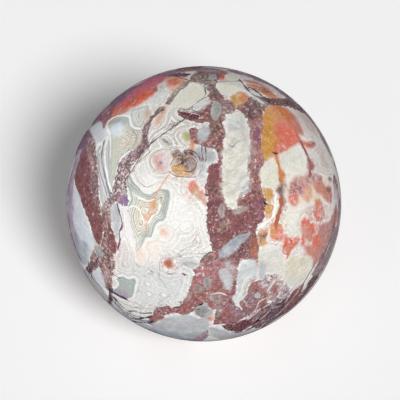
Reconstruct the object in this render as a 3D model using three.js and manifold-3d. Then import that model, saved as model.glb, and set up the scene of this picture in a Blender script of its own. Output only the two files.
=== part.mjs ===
// A polished crazy lace agate sphere, one solid stone with a small ground flat to stand on.
// Millimetres, +Z up. The origin is the centre of the flat, so the stone rests on the plane z = 0.
// The polish has left a few small open pits where the breccia between the agate pieces was soft.
import * as THREE from "three";
import { mergeVertices } from "three/addons/utils/BufferGeometryUtils.js";
import Module from "manifold-3d";

// Driving dimensions
const SPHERE_DIAMETER = 65;
const FLAT_DIAMETER = 14;
const EDGE_BREAK = 0.4; // how far the sharp rim of the flat is eased, inwards and outwards
const ROUND_SEGMENTS = 90;
const ARC_SEGMENTS = 44;

// Open pits. Azimuth runs from the front (-Y) towards +X and elevation from the middle up, in degrees.
// Turn is the angle of the pit's long side from the horizontal.
const PITS = [
  { azimuth: 22, elevation: -9, length: 3.0, width: 1.7, depth: 1.0, turn: 38 },
  { azimuth: 22.5, elevation: -2, length: 1.9, width: 0.9, depth: 0.7, turn: 62 },
  { azimuth: 34, elevation: 0, length: 2.2, width: 1.3, depth: 0.6, turn: 50 },
  { azimuth: 130, elevation: 30, length: 4.4, width: 1.1, depth: 0.8, turn: -58 },
  { azimuth: 205, elevation: 24, length: 2.6, width: 1.4, depth: 0.9, turn: 20 },
  { azimuth: 248, elevation: -14, length: 3.2, width: 1.2, depth: 0.8, turn: 74 },
];
const PIT_RISE = 0.45; // share of a pit's depth by which its pocket's middle stands above the surface
const PIT_RAGGEDNESS = 0.12; // how far a pit's wall strays from an even ellipsoid, as a share

const sphereRadius = SPHERE_DIAMETER / 2;
const flatRadius = FLAT_DIAMETER / 2;

// The sphere's middle stands over the flat by the height that puts the flat's uncut rim on the sphere.
const middleHeight = Math.sqrt(sphereRadius ** 2 - flatRadius ** 2);

const wasm = await Module();
wasm.setup();

// A closed three.js geometry as a solid that can be cut.
function toSolid(geometry) {
  const bare = geometry.clone();
  bare.deleteAttribute("normal");
  bare.deleteAttribute("uv");
  const merged = mergeVertices(bare.index ? bare.toNonIndexed() : bare, 1e-4);
  return new wasm.Manifold(
    new wasm.Mesh({
      numProp: 3,
      vertProperties: new Float32Array(merged.attributes.position.array),
      triVerts: new Uint32Array(merged.index.array),
    }),
  );
}

// A solid back as a geometry with a normal for each vertex.
function toGeometry(solid) {
  const mesh = solid.getMesh();
  const geometry = new THREE.BufferGeometry();
  geometry.setAttribute("position", new THREE.BufferAttribute(mesh.vertProperties, 3));
  geometry.setIndex(new THREE.BufferAttribute(mesh.triVerts, 1));
  geometry.computeVertexNormals();
  return geometry;
}

// Half outline of the stone: the flat, its eased rim, then the sphere up to the top.
function stoneProfile() {
  const points = [new THREE.Vector2(0, 0), new THREE.Vector2(flatRadius - EDGE_BREAK, 0)];
  const startAngle = Math.asin((flatRadius + EDGE_BREAK) / sphereRadius);
  for (let i = 0; i < ARC_SEGMENTS; i += 1) {
    const angle = THREE.MathUtils.lerp(startAngle, Math.PI, i / ARC_SEGMENTS);
    const height = middleHeight - sphereRadius * Math.cos(angle);
    points.push(new THREE.Vector2(sphereRadius * Math.sin(angle), height));
  }
  points.push(new THREE.Vector2(0, middleHeight + sphereRadius));
  return points;
}

// LatheGeometry turns its profile about +Y, so the stone is stood up on +Z afterwards.
function polishedSphere() {
  const geometry = new THREE.LatheGeometry(stoneProfile(), ROUND_SEGMENTS);
  geometry.rotateX(Math.PI / 2);
  return toSolid(geometry);
}

// Outward direction of the sphere's surface at an azimuth and elevation in degrees.
function outward(azimuth, elevation) {
  const a = THREE.MathUtils.degToRad(azimuth);
  const e = THREE.MathUtils.degToRad(elevation);
  return new THREE.Vector3(Math.sin(a) * Math.cos(e), -Math.cos(a) * Math.cos(e), Math.sin(e));
}

// The pocket that is cut out for one pit: an uneven ellipsoid lying in the surface.
function pitPocket(pit) {
  const geometry = new THREE.IcosahedronGeometry(1, 2);
  const position = geometry.attributes.position;
  const point = new THREE.Vector3();
  for (let i = 0; i < position.count; i += 1) {
    point.fromBufferAttribute(position, i);
    const uneven = Math.sin(4 * point.x + pit.azimuth) * Math.cos(5 * point.y + pit.turn);
    point.multiplyScalar(1 + PIT_RAGGEDNESS * uneven);
    position.setXYZ(i, point.x, point.y, point.z);
  }
  const pocketDepth = pit.depth * (1 + PIT_RISE);
  geometry.scale(pit.length / 2, pit.width / 2, pocketDepth);

  const normal = outward(pit.azimuth, pit.elevation);
  const level = new THREE.Vector3(0, 0, 1).cross(normal).normalize();
  const along = level.applyAxisAngle(normal, THREE.MathUtils.degToRad(pit.turn));
  const across = normal.clone().cross(along);
  const place = new THREE.Matrix4().makeBasis(along, across, normal);
  place.setPosition(
    normal
      .clone()
      .multiplyScalar(sphereRadius + pit.depth * PIT_RISE)
      .add(new THREE.Vector3(0, 0, middleHeight)),
  );
  geometry.applyMatrix4(place);
  return toSolid(geometry);
}

const agate = new THREE.MeshStandardMaterial({
  name: "polished agate",
  color: 0xc4b0a6,
  roughness: 0.12,
  metalness: 0,
});

const pittedSphere = PITS.reduce((stone, pit) => stone.subtract(pitPocket(pit)), polishedSphere());
const sphere = new THREE.Mesh(toGeometry(pittedSphere), agate);
sphere.name = "agate_sphere";

const part = new THREE.Group();
part.add(sphere);

export default part;
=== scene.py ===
import math
import bpy
import numpy as np
from mathutils import Matrix, Vector
from mathutils.noise import fractal


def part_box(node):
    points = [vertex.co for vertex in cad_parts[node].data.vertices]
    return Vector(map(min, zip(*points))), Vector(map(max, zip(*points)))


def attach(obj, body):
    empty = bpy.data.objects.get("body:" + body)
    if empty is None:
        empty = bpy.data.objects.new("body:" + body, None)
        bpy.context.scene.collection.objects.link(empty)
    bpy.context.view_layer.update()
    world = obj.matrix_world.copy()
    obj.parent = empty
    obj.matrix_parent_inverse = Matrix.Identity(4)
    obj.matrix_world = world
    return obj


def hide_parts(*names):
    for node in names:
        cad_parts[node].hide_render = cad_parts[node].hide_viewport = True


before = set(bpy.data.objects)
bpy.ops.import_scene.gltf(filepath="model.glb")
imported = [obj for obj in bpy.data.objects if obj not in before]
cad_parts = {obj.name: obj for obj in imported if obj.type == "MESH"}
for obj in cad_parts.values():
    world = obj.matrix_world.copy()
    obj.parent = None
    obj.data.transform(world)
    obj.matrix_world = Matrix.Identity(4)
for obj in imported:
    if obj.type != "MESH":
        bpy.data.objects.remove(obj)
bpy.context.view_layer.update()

# A polished crazy lace agate sphere. One fine mesh takes the place of the plain solid, and its markings
# are drawn outlines, which become distances on the mesh that the stone's material reads.
# Outlines are in photo pixels: x to the right and y down, in a picture 400 pixels wide. Each is x and y of
# one point after another. Three numbers in round brackets are a circle's middle and reach, and a ribbon is
# a row of them: x, y and half width in mm.
nodeName = "agate_sphere"
boxLow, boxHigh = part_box(nodeName)
metresPerMm = 0.001
radius = (boxHigh[0] - boxLow[0]) / 2
radiusMm = radius / metresPerMm
middle = Vector((0.0, 0.0, boxHigh[2] - radius))

# the view: a long lens well above the stone
picture = {
    "size": 400,              # pixels across
    "centreX": 203.5,         # middle of the stone in the picture
    "centreY": 203.8,
    "stoneRadius": 137.8,     # pixels from its middle to its outline
    "elevation": 60.0,        # degrees above the table
    "lens": 150.0,            # millimetres, on a sensor 36 mm wide
    "sensor": 36.0,
    "nearest": 0.01,          # metres from the camera that it starts to see
    "turnPastRim": 1.6,       # how far an outline drawn past the rim goes round it, radians per stone radius
}
rimSight = math.atan(picture["stoneRadius"] / picture["size"] * picture["sensor"] / picture["lens"])
cameraDistance = radius / math.sin(rimSight)
rise = math.radians(picture["elevation"])
toCamera = np.array((0.0, -math.cos(rise), math.sin(rise)))
pictureUp = np.array((0.0, math.sin(rise), math.cos(rise)))
pictureRight = np.array((1.0, 0.0, 0.0))
mmPerPixel = radiusMm / picture["stoneRadius"]

# colours as they look in even light, red, green and blue from 0 to 255
palette = {
    "snow": (249, 248, 244),
    "lace": (238, 237, 232),
    "pearl": (222, 225, 224),
    "mist": (205, 210, 212),
    "blush": (236, 221, 207),
    "petal": (229, 214, 216),
    "bone": (234, 232, 214),
    "calcite": (236, 234, 220),
    "butter": (222, 214, 188),
    "sage": (200, 203, 182),
    "smoke": (158, 163, 160),
    "teal": (165, 176, 173),
    "blueGrey": (166, 178, 188),
    "paleBlue": (216, 222, 230),
    "slate": (125, 132, 148),
    "ink": (72, 66, 76),
    "beige": (214, 200, 178),
    "tan": (206, 176, 148),
    "peach": (226, 176, 148),
    "olive": (186, 180, 122),
    "maroon": (130, 80, 82),
    "brick": (152, 94, 94),
    "rose": (168, 104, 104),
    "wine": (96, 50, 56),
    "plum": (104, 72, 104),
    "dusk": (78, 58, 80),
    "umber": (98, 76, 74),
    "ash": (160, 148, 148),
    "mauve": (172, 150, 160),
    "lilac": (166, 148, 170),
    "amethyst": (146, 122, 164),
    "magenta": (192, 92, 118),
    "salmon": (206, 142, 126),
    "coral": (220, 116, 94),
    "flame": (223, 100, 70),
    "rust": (176, 98, 66),
    "orange": (212, 132, 76),
    "ochre": (210, 162, 92),
    "gold": (214, 156, 66),
    "night": (38, 32, 36),
    "ringBrown": (142, 114, 100),
    "ringGrey": (152, 150, 148),
    "ringPale": (192, 178, 164),
    "crumbPink": (200, 172, 170),
    "heather": (148, 122, 132),
    "berry": (150, 92, 116),
    "shell": (210, 184, 175),
    "fog": (184, 186, 191),
    "dustyRose": (190, 140, 135),
    "lensBlue": (148, 154, 165),
    "flint": (155, 157, 153),
    "pewter": (136, 134, 136),
    "clay": (146, 120, 118),
    "veil": (238, 229, 229),
    "violet": (134, 106, 132),
    "chalk": (222, 219, 210),
    "cerise": (206, 116, 132),
}


def paint(name):
    # a palette colour as linear light
    shares = np.array(palette[name]) / 255
    return np.where(shares <= 0.04045, shares / 12.92, ((shares + 0.055) / 1.055) ** 2.4)


# soft washes of the pale lace, and at the rims tints of painted reflection: middle x and y, reach in pixels,
# tint, strength of rings, of dark strokes
laceWashes = {
    "open field": (160, 200, 90, "lace", 0.6, 0.0),
    "white heart": (188, 212, 24, "snow", 0.35, 0.0),
    "upper left lobe": (148, 168, 16, "lace", 0.5, 0.0),
    "lobe under the eye": (148, 184, 9, "snow", 0.15, 0.0),
    "blush foot": (150, 252, 12, "blush", 0.15, 0.0),
    "lilac corner": (122, 262, 18, "petal", 0.55, 0.5),
    "cool foot": (150, 288, 30, "mist", 0.35, 1.0),
    "cool foot low": (165, 300, 22, "mist", 0.35, 1.0),
    "squiggles": (190, 250, 20, "lace", 0.5, 1.0),
    "grey lens field": (178, 272, 20, "mist", 0.35, 1.0),
    "upper channel": (160, 92, 20, "mist", 0.4, 0.0),
    "right field": (292, 215, 26, "bone", 0.35, 0.0),
    "right low field": (272, 262, 24, "pearl", 0.2, 0.0),
    "right shoulder": (322, 160, 16, "shell", 0.3, 0.2),
    "right shoulder pale": (316, 158, 8, "pearl", 0.3, 0.0),
    "top right shoulder": (306, 122, 18, "shell", 0.25, 0.2),
    # painted reflection: a mauve wash where the right rim mirrors the dim surroundings
    "right rim": (336, 190, 14, "mauve", 0.1, 0.0),
    "rosy veil": (320, 200, 24, "shell", 0.3, 0.3),
    "rosy veil low": (318, 240, 16, "shell", 0.3, 0.3),
    "upper rings": (172, 128, 22, "lace", 1.0, 0.0),
    "upper rings left": (152, 146, 14, "snow", 1.0, 0.0),
    "shoulder rings": (184, 100, 22, "lace", 0.9, 0.0),
    # painted reflection: grey and blue-grey washes where the lower rims mirror the floor
    "low right rim": (326, 252, 14, "ash", 0.1, 0.0),
    "low left rim": (112, 312, 18, "blueGrey", 0.5, 0.4),
    "bottom rim": (240, 338, 20, "ash", 0.2, 0.2),
}

# middles of closed rings in the lace: x and y
laceEyes = {
    "upper": (181, 201),
    "lower": (185, 227),
    "beside": (175, 226),
    "foot": (164, 295),
    "far foot": (148, 284),
    "faint": (149, 294),
}

# grey-green chalcedony with bands along its edge, and two rim bands of painted reflection: tint, strength of
# the bands, blend in mm, outline
chalcedony = {
    "upper pocket": ("sage", 0.25, 0.6, [
        108, 122, 113, 118, 120, 116, 129, 118, 130, 124, 133, 128, 140, 130, 147, 127, 148, 131, 144, 137,
        142, 143, 138, 148, 130, 151, 122, 157, 118, 164, 111, 190, 110, 176, 111, 138, 109, 130]),
    "pocket top": ("teal", 0.1, 0.9, [109, 122, 114, 119, 121, 117, 129, 119, 127, 123, 118, 125]),
    "pocket right": ("beige", 0.8, 1.2, [
        123, 134, 133, 130, 145, 129, 139, 147, 130, 151, 123, 156, 120, 150]),
    "under the lobe": ("sage", 0.95, 0.6, [
        129, 171, 134, 182, 147, 194, 160, 189, 169, 190, 170, 200, 165, 219, 159, 222, 155, 226, 152, 237,
        146, 238, 141, 250, 140, 258, 136, 251, 127, 222, 128, 206, 131, 199, 126, 182, 126, 174]),
    "lobe shade": ("smoke", 0.35, 0.5, [
        129, 171, 132, 179, 143, 193, 150, 196, 157, 192, 156, 197, 148, 200, 139, 197, 132, 191, 127, 183,
        126, 176]),
    "right shade": ("smoke", 0.2, 0.6, [160, 190, 168, 191, 169, 201, 163, 219, 160, 217, 163, 198]),
    "low shade": ("smoke", 0.1, 0.9, [
        142, 240, 151, 236, 153, 229, 150, 227, 140, 240, 138, 250, 140, 257]),
    "lower left pocket": ("teal", 0.1, 0.6, [
        116, 279, 123, 276, 128, 279, 136, 279, 134, 291, 132, 297, 125, 297, 119, 293, 113, 290, 118, 287,
        119, 282]),
    "pocket floor": ("lilac", 0.0, 0.8, [114, 291, 121, 291, 130, 294, 127, 299, 120, 298]),
    "upper bands": ("pearl", 0.6, 0.4, [131, 111, 133, 125, 139, 128, 144, 124, 149, 107, 144, 106]),
    "long stripes": ("fog", 0.4, 0.4, [
        97, 152, 101, 144, 106, 139, 110, 141, 110, 158, 111, 192, 110, 204, 104, 206, 100, 198, 99, 182,
        97, 168]),
    # painted reflection: grey and blue-grey bands along the lower rims, where the polished rim mirrors the
    # floor, drawn as banded chalcedony
    "right rim painted reflection": ("ash", 0.3, 0.8, [
        332, 214, 333, 230, 331, 244, 326, 258, 320, 268, 313, 276, 318, 264, 324, 250, 328, 236,
        330, 222]),
    "low left painted reflection": ("blueGrey", 0.5, 0.8, [
        84, 270, 92, 272, 98, 284, 107, 295, 112, 304, 122, 313, 136, 321, 150, 326, 148, 334, 128, 325,
        108, 311, 92, 292]),
}

# red-brown breccia of crushed agate, and along the rim bands of painted reflection and shade in its grain:
# tint, crumbs, blend in mm, outline
breccia = {
    "left band": ("maroon", 0.2, 0.5, [
        87, 130, 96, 141, 96, 158, 100, 208, 103, 220, 103, 234, 100, 244, 95, 240, 87, 216, 78, 194,
        74, 174, 75, 160, 78, 146, 82, 136]),
    "left band crumbs": ("crumbPink", 1.3, 0.5, [
        87, 138, 92, 138, 96, 146, 98, 176, 97, 184, 93, 178, 86, 146]),
    "left band crumbs low": ("heather", 1.2, 0.5, [92, 172, 98, 176, 99, 194, 98, 206, 94, 200, 91, 186]),
    # violet bands along the left and top left limb: partly the stone's purple, partly painted reflection of
    # the dim surroundings
    "left band shade": ("violet", 0.2, 1.4, [83, 136, 88, 138, 86, 148, 83, 156, 78, 161, 78, 150]),
    "top left rim": ("violet", 0.5, 0.7, [
        (88, 137, 1.2), (94.5, 127, 2.6), (102, 116, 1.6), (109.5, 108, 2.2), (118, 100, 1.0)]),
    "top left crumbs": ("berry", 0.9, 0.5, [
        98, 121, 103, 111, 110, 106, 114, 108, 112, 115, 107, 122, 104, 129, 100, 128]),
    "wedge": ("petal", 1.5, 0.5, [
        144, 129, 147, 132, 146, 140, 148, 147, 132, 166, 130, 173, 127, 180, 127, 196, 112, 200, 111, 192,
        115, 182, 119, 164, 129, 152, 137, 148, 142, 141]),
    "wedge foot": ("petal", 1.4, 0.9, [119, 168, 128, 168, 126, 182, 126, 195, 117, 199, 112, 194]),
    "wedge shade": ("mauve", 1.3, 0.7, [143, 140, 147, 146, 139, 156, 133, 161, 128, 158, 135, 150]),
    "wedge neck": ("plum", 0.8, 0.6, [(145, 129, 0.5), (145, 138, 0.6), (146, 146, 0.6)]),
    "mottled strip": ("crumbPink", 1.4, 0.4, [
        111, 196, 118, 198, 111, 210, 111, 222, 109, 246, 113, 254, 115, 264, 112, 276, 112, 288, 106, 288,
        101, 280, 100, 268, 92, 264, 90, 254, 94, 246, 100, 246, 103, 236, 103, 222, 101, 208]),
    "second blob": ("maroon", 0.3, 0.3, [108, 218, 116, 241, 117, 248, 114, 253, 106, 245, 108, 236]),
    "low left blob": ("dusk", 0.7, 0.5, [90, 261, 95, 258, 99, 262, 93, 273, 87, 272, 86, 266]),
    "low left tan": ("crumbPink", 1.0, 0.6, [102, 270, 110, 270, 111, 282, 106, 286, 101, 280]),
    "low left knot": ("umber", 0.8, 0.4, [107, 285, 112, 287, 113, 291, 112, 304, 108, 302, 109, 294]),
    "top channel": ("ringBrown", 1.1, 0.5, [
        190, 78, 196, 72, 212, 71, 220, 74, 216, 87, 222, 94, 224, 101, 213, 103, 208, 99, 205, 86,
        192, 81]),
    "channel light": ("ringPale", 1.3, 0.6, [192, 76, 204, 75, 214, 79, 212, 83, 203, 83, 195, 81]),
    "channel dark": ("umber", 1.0, 0.6, [204, 83, 212, 84, 216, 90, 219, 99, 210, 99, 206, 92]),
    "diagonal head": ("ringPale", 1.2, 0.5, [
        (187, 81, 0.7), (180, 89, 1.0), (173, 97, 0.8), (167, 105, 0.6)]),
    "diagonal": ("ash", 1.3, 0.5, [
        (165, 106, 0.4), (158, 112, 0.8), (151, 119, 0.5), (147, 126, 0.9), (145, 133, 0.8)]),
    # painted reflection: mauve and plum bands along the top limb, where the rim mirrors the dim room
    "top purple rim": ("mauve", 0.9, 0.7, [
        (148, 79, 0.6), (162, 74, 1.4), (178, 71, 2.2), (194, 69.5, 1.6), (208, 69.5, 2.2),
        (222, 71, 1.0)]),
    "top plum": ("plum", 0.3, 0.8, [(167, 76, 0.5), (178, 74.5, 1.3), (189, 75, 0.8)]),
    "left column": ("brick", 0.95, 0.5, [
        178, 110, 197, 111, 209, 99, 222, 98, 236, 108, 226, 119, 224, 126, 226, 133, 223, 142, 224, 150,
        222, 160, 224, 194, 226, 206, 214, 206, 205, 190, 207, 181, 207, 172, 211, 164, 217, 162, 218, 155,
        213, 150, 196, 143, 189, 130, 207, 127, 208, 122, 198, 123, 180, 116]),
    "dark shard": ("wine", 0.6, 0.5, [179, 110, 190, 112, 199, 114, 203, 120, 194, 120, 181, 116]),
    "pink crumbs": ("crumbPink", 1.2, 0.8, [221, 101, 229, 100, 235, 107, 230, 114, 225, 122, 221, 118]),
    "waist": ("umber", 1.0, 0.5, [
        205, 254, 214, 251, 224, 256, 236, 257, 240, 262, 236, 268, 226, 265, 214, 265, 203, 268,
        199, 264]),
    "rosy oval": ("rose", 0.4, 0.4, [208, 300, 214, 299, 218, 303, 217, 309, 211, 309, 207, 305]),
    "lower right field": ("heather", 1.0, 0.7, [
        240, 307, 250, 307, 262, 300, 266, 308, 260, 318, 258, 330, 250, 331, 252, 320]),
    "maroon oval": ("maroon", 0.15, 0.4, [212, 165, 218, 165, 220, 172, 218, 187, 211, 187, 207, 181]),
    "column olive": ("ringBrown", 1.0, 0.9, [211, 119, 220, 121, 222, 132, 215, 138, 210, 130]),
    "column shade": ("umber", 0.4, 0.7, [206, 186, 213, 188, 218, 194, 212, 200, 206, 196]),
    "right column": ("dustyRose", 0.9, 0.5, [
        236, 107, 246, 103, 252, 97, 262, 100, 274, 101, 287, 99, 296, 103, 305, 112, 300, 112, 290, 107,
        278, 105, 266, 107, 262, 120, 263, 128, 260, 136, 260, 146, 264, 161, 259, 176, 262, 192, 265, 202,
        238, 208, 238, 196, 246, 190, 250, 180, 247, 170, 250, 146, 247, 118]),
    "column berry": ("berry", 0.6, 0.7, [256, 122, 260, 128, 261, 141, 258, 150, 254, 140, 254, 130]),
    "column berry low": ("berry", 0.6, 0.7, [258, 160, 262, 164, 260, 173, 257, 178, 255, 170]),
    "column low": ("brick", 0.8, 1.0, [250, 172, 260, 172, 261, 186, 264, 202, 240, 206, 251, 182]),
    "column top": ("wine", 0.7, 0.9, [242, 106, 250, 100, 262, 104, 262, 112, 254, 119, 246, 117]),
    "column head": ("umber", 0.8, 0.8, [250, 97, 260, 99, 268, 103, 264, 108, 256, 104, 249, 102]),
    "arch to the rim": ("umber", 1.0, 0.6, [
        252, 95, 274, 99, 286, 98, 296, 103, 306, 114, 296, 109, 282, 106, 264, 104]),
    # from black rim down to bottom right rim: painted reflection and painted rim shade, dark and grey-mauve
    # bands that hug the limb
    "black rim": ("umber", 0.5, 0.8, [(284, 95, 0.7), (297, 104, 1.6), (309, 116, 0.8)]),
    "top right rim": ("mauve", 0.7, 0.9, [
        (226, 70, 0.3), (236, 72, 1.8), (246, 75, 0.9), (256, 78, 2.8), (270, 84.5, 1.3), (284, 93.5, 2.6),
        (298, 105, 0.9), (306, 113, 2.0), (316, 127, 0.7), (324, 141, 1.7), (331, 156, 0.4)]),
    "right rim shade": ("mauve", 0.4, 0.9, [
        (334, 162, 0.2), (337, 178, 1.3), (338.5, 192, 0.6), (339.5, 206, 1.8), (338.5, 220, 0.9),
        (336, 234, 2.3), (332, 248, 0.8), (325, 263, 2.2), (317, 277, 0.9), (307, 290, 2.6),
        (297, 300, 0.8)]),
    "right rim dark": ("clay", 0.5, 0.7, [
        (336, 206, 0.4), (334.5, 222, 0.8), (330, 240, 0.5), (322, 258, 0.9), (314, 271, 0.5)]),
    "right rim grey": ("ash", 0.4, 0.5, [
        333, 228, 331, 240, 327, 252, 320, 264, 312, 274, 316, 276, 324, 266, 331, 252, 335, 238,
        336, 228]),
    "bottom right rim": ("umber", 0.8, 0.6, [
        (309, 286, 0.8), (300, 298, 2.0), (289, 308, 3.2), (276, 317, 2.0), (261, 325.5, 3.4),
        (246, 332, 1.8), (232, 335.5, 2.6), (218, 338, 0.8)]),
    "spine foot": ("maroon", 0.55, 0.5, [
        208, 196, 214, 192, 232, 209, 248, 200, 263, 196, 266, 203, 264, 210, 265, 218, 257, 229, 259, 252,
        258, 266, 256, 262, 247, 259, 240, 262, 238, 268, 232, 266, 228, 258, 213, 257, 200, 264, 210, 255,
        212, 248, 206, 222, 208, 212]),
    "spine crumbs": ("maroon", 0.8, 0.6, [
        222, 210, 232, 211, 234, 222, 231, 229, 221, 231, 213, 226, 211, 216]),
    "spine plum": ("maroon", 0.6, 1.0, [256, 204, 264, 206, 264, 216, 260, 223, 255, 220, 254, 210]),
    "spine berry": ("berry", 0.4, 0.7, [257, 200, 262, 204, 263, 214, 260, 220, 256, 212]),
    "spine brown": ("ringBrown", 1.0, 0.8, [220, 222, 228, 220, 231, 227, 225, 231, 219, 229]),
    "plain maroon": ("maroon", 0.1, 0.8, [
        231, 214, 241, 211, 243, 222, 238, 232, 220, 242, 221, 234, 230, 228]),
    "crumbs under the lens": ("wine", 1.0, 0.4, [
        247, 240, 249, 248, 244, 254, 236, 258, 232, 256, 238, 249]),
    "rust side": ("rust", 0.3, 0.8, [253, 238, 258, 242, 258, 256, 257, 266, 253, 262, 253, 250]),
    "legs": ("brick", 0.7, 0.5, [
        187, 268, 195, 269, 203, 263, 222, 259, 237, 267, 236, 292, 232, 298, 216, 302, 208, 302, 199, 306,
        192, 312, 182, 315, 173, 312, 160, 320, 154, 324, 148, 322, 153, 312, 158, 308, 168, 306, 173, 308,
        185, 299, 193, 277, 192, 271]),
    "legs red": ("rose", 0.55, 0.7, [196, 270, 204, 267, 214, 272, 220, 282, 214, 290, 206, 276, 194, 290]),
    "left toe": ("brick", 0.7, 0.6, [154, 312, 160, 308, 161, 318, 156, 322, 150, 321]),
    "foot column": ("brick", 0.5, 0.6, [
        219, 290, 228, 291, 238, 309, 246, 311, 248, 315, 232, 323, 214, 324, 215, 318, 219, 313]),
    "foot mauve": ("heather", 0.6, 0.9, [232, 304, 240, 309, 247, 312, 246, 317, 236, 317, 231, 312]),
    "foot strips": ("ash", 0.9, 0.5, [214, 300, 220, 294, 222, 304, 221, 314, 215, 319, 216, 308]),
    "dark sole": ("wine", 0.5, 0.5, [221, 326, 240, 321, 248, 318, 253, 320, 251, 326, 243, 330, 234, 332]),
    "right foot": ("umber", 0.7, 0.6, [
        262, 298, 270, 303, 286, 296, 290, 302, 286, 310, 276, 319, 264, 327, 257, 330, 258, 320, 262, 312,
        258, 306]),
    "right foot dark": ("dusk", 0.5, 0.8, [268, 312, 278, 307, 284, 303, 283, 310, 274, 320, 266, 322]),
    "right red streak": ("maroon", 0.25, 0.4, [
        303, 284, 298, 299, 290, 308, 283, 313, 284, 306, 288, 300, 290, 294]),
    "rosy clump": ("rose", 0.9, 0.6, [
        247, 289, 257, 280, 269, 284, 268, 300, 260, 306, 248, 309, 240, 306, 241, 301, 248, 298]),
    "clump mauve": ("heather", 1.1, 0.8, [244, 297, 252, 292, 258, 293, 260, 300, 252, 306, 244, 305]),
    "pink speckles": ("veil", 1.1, 0.9, [
        263, 279, 266, 273, 272, 275, 277, 270, 282, 276, 287, 278, 288, 285, 291, 290, 286, 297, 268, 301,
        270, 290, 264, 287]),
    "speckle reds": ("rose", 0.9, 0.6, [272, 286, 276, 284, 278, 290, 276, 295, 272, 294]),
    "speckle dark": ("heather", 1.2, 0.6, [283, 292, 288, 289, 290, 294, 286, 298]),
    "right rim lines": ("umber", 0.4, 0.5, [309, 281, 316, 275, 319, 276, 313, 285, 306, 294, 303, 296]),
    "bottom rim bits": ("mauve", 0.6, 0.5, [188, 340, 201, 330, 208, 331, 208, 337, 202, 341, 192, 342]),
    "amethyst": ("amethyst", 0.2, 0.4, [119, 197, 127, 195, 129, 200, 127, 206, 121, 205]),
}
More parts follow.
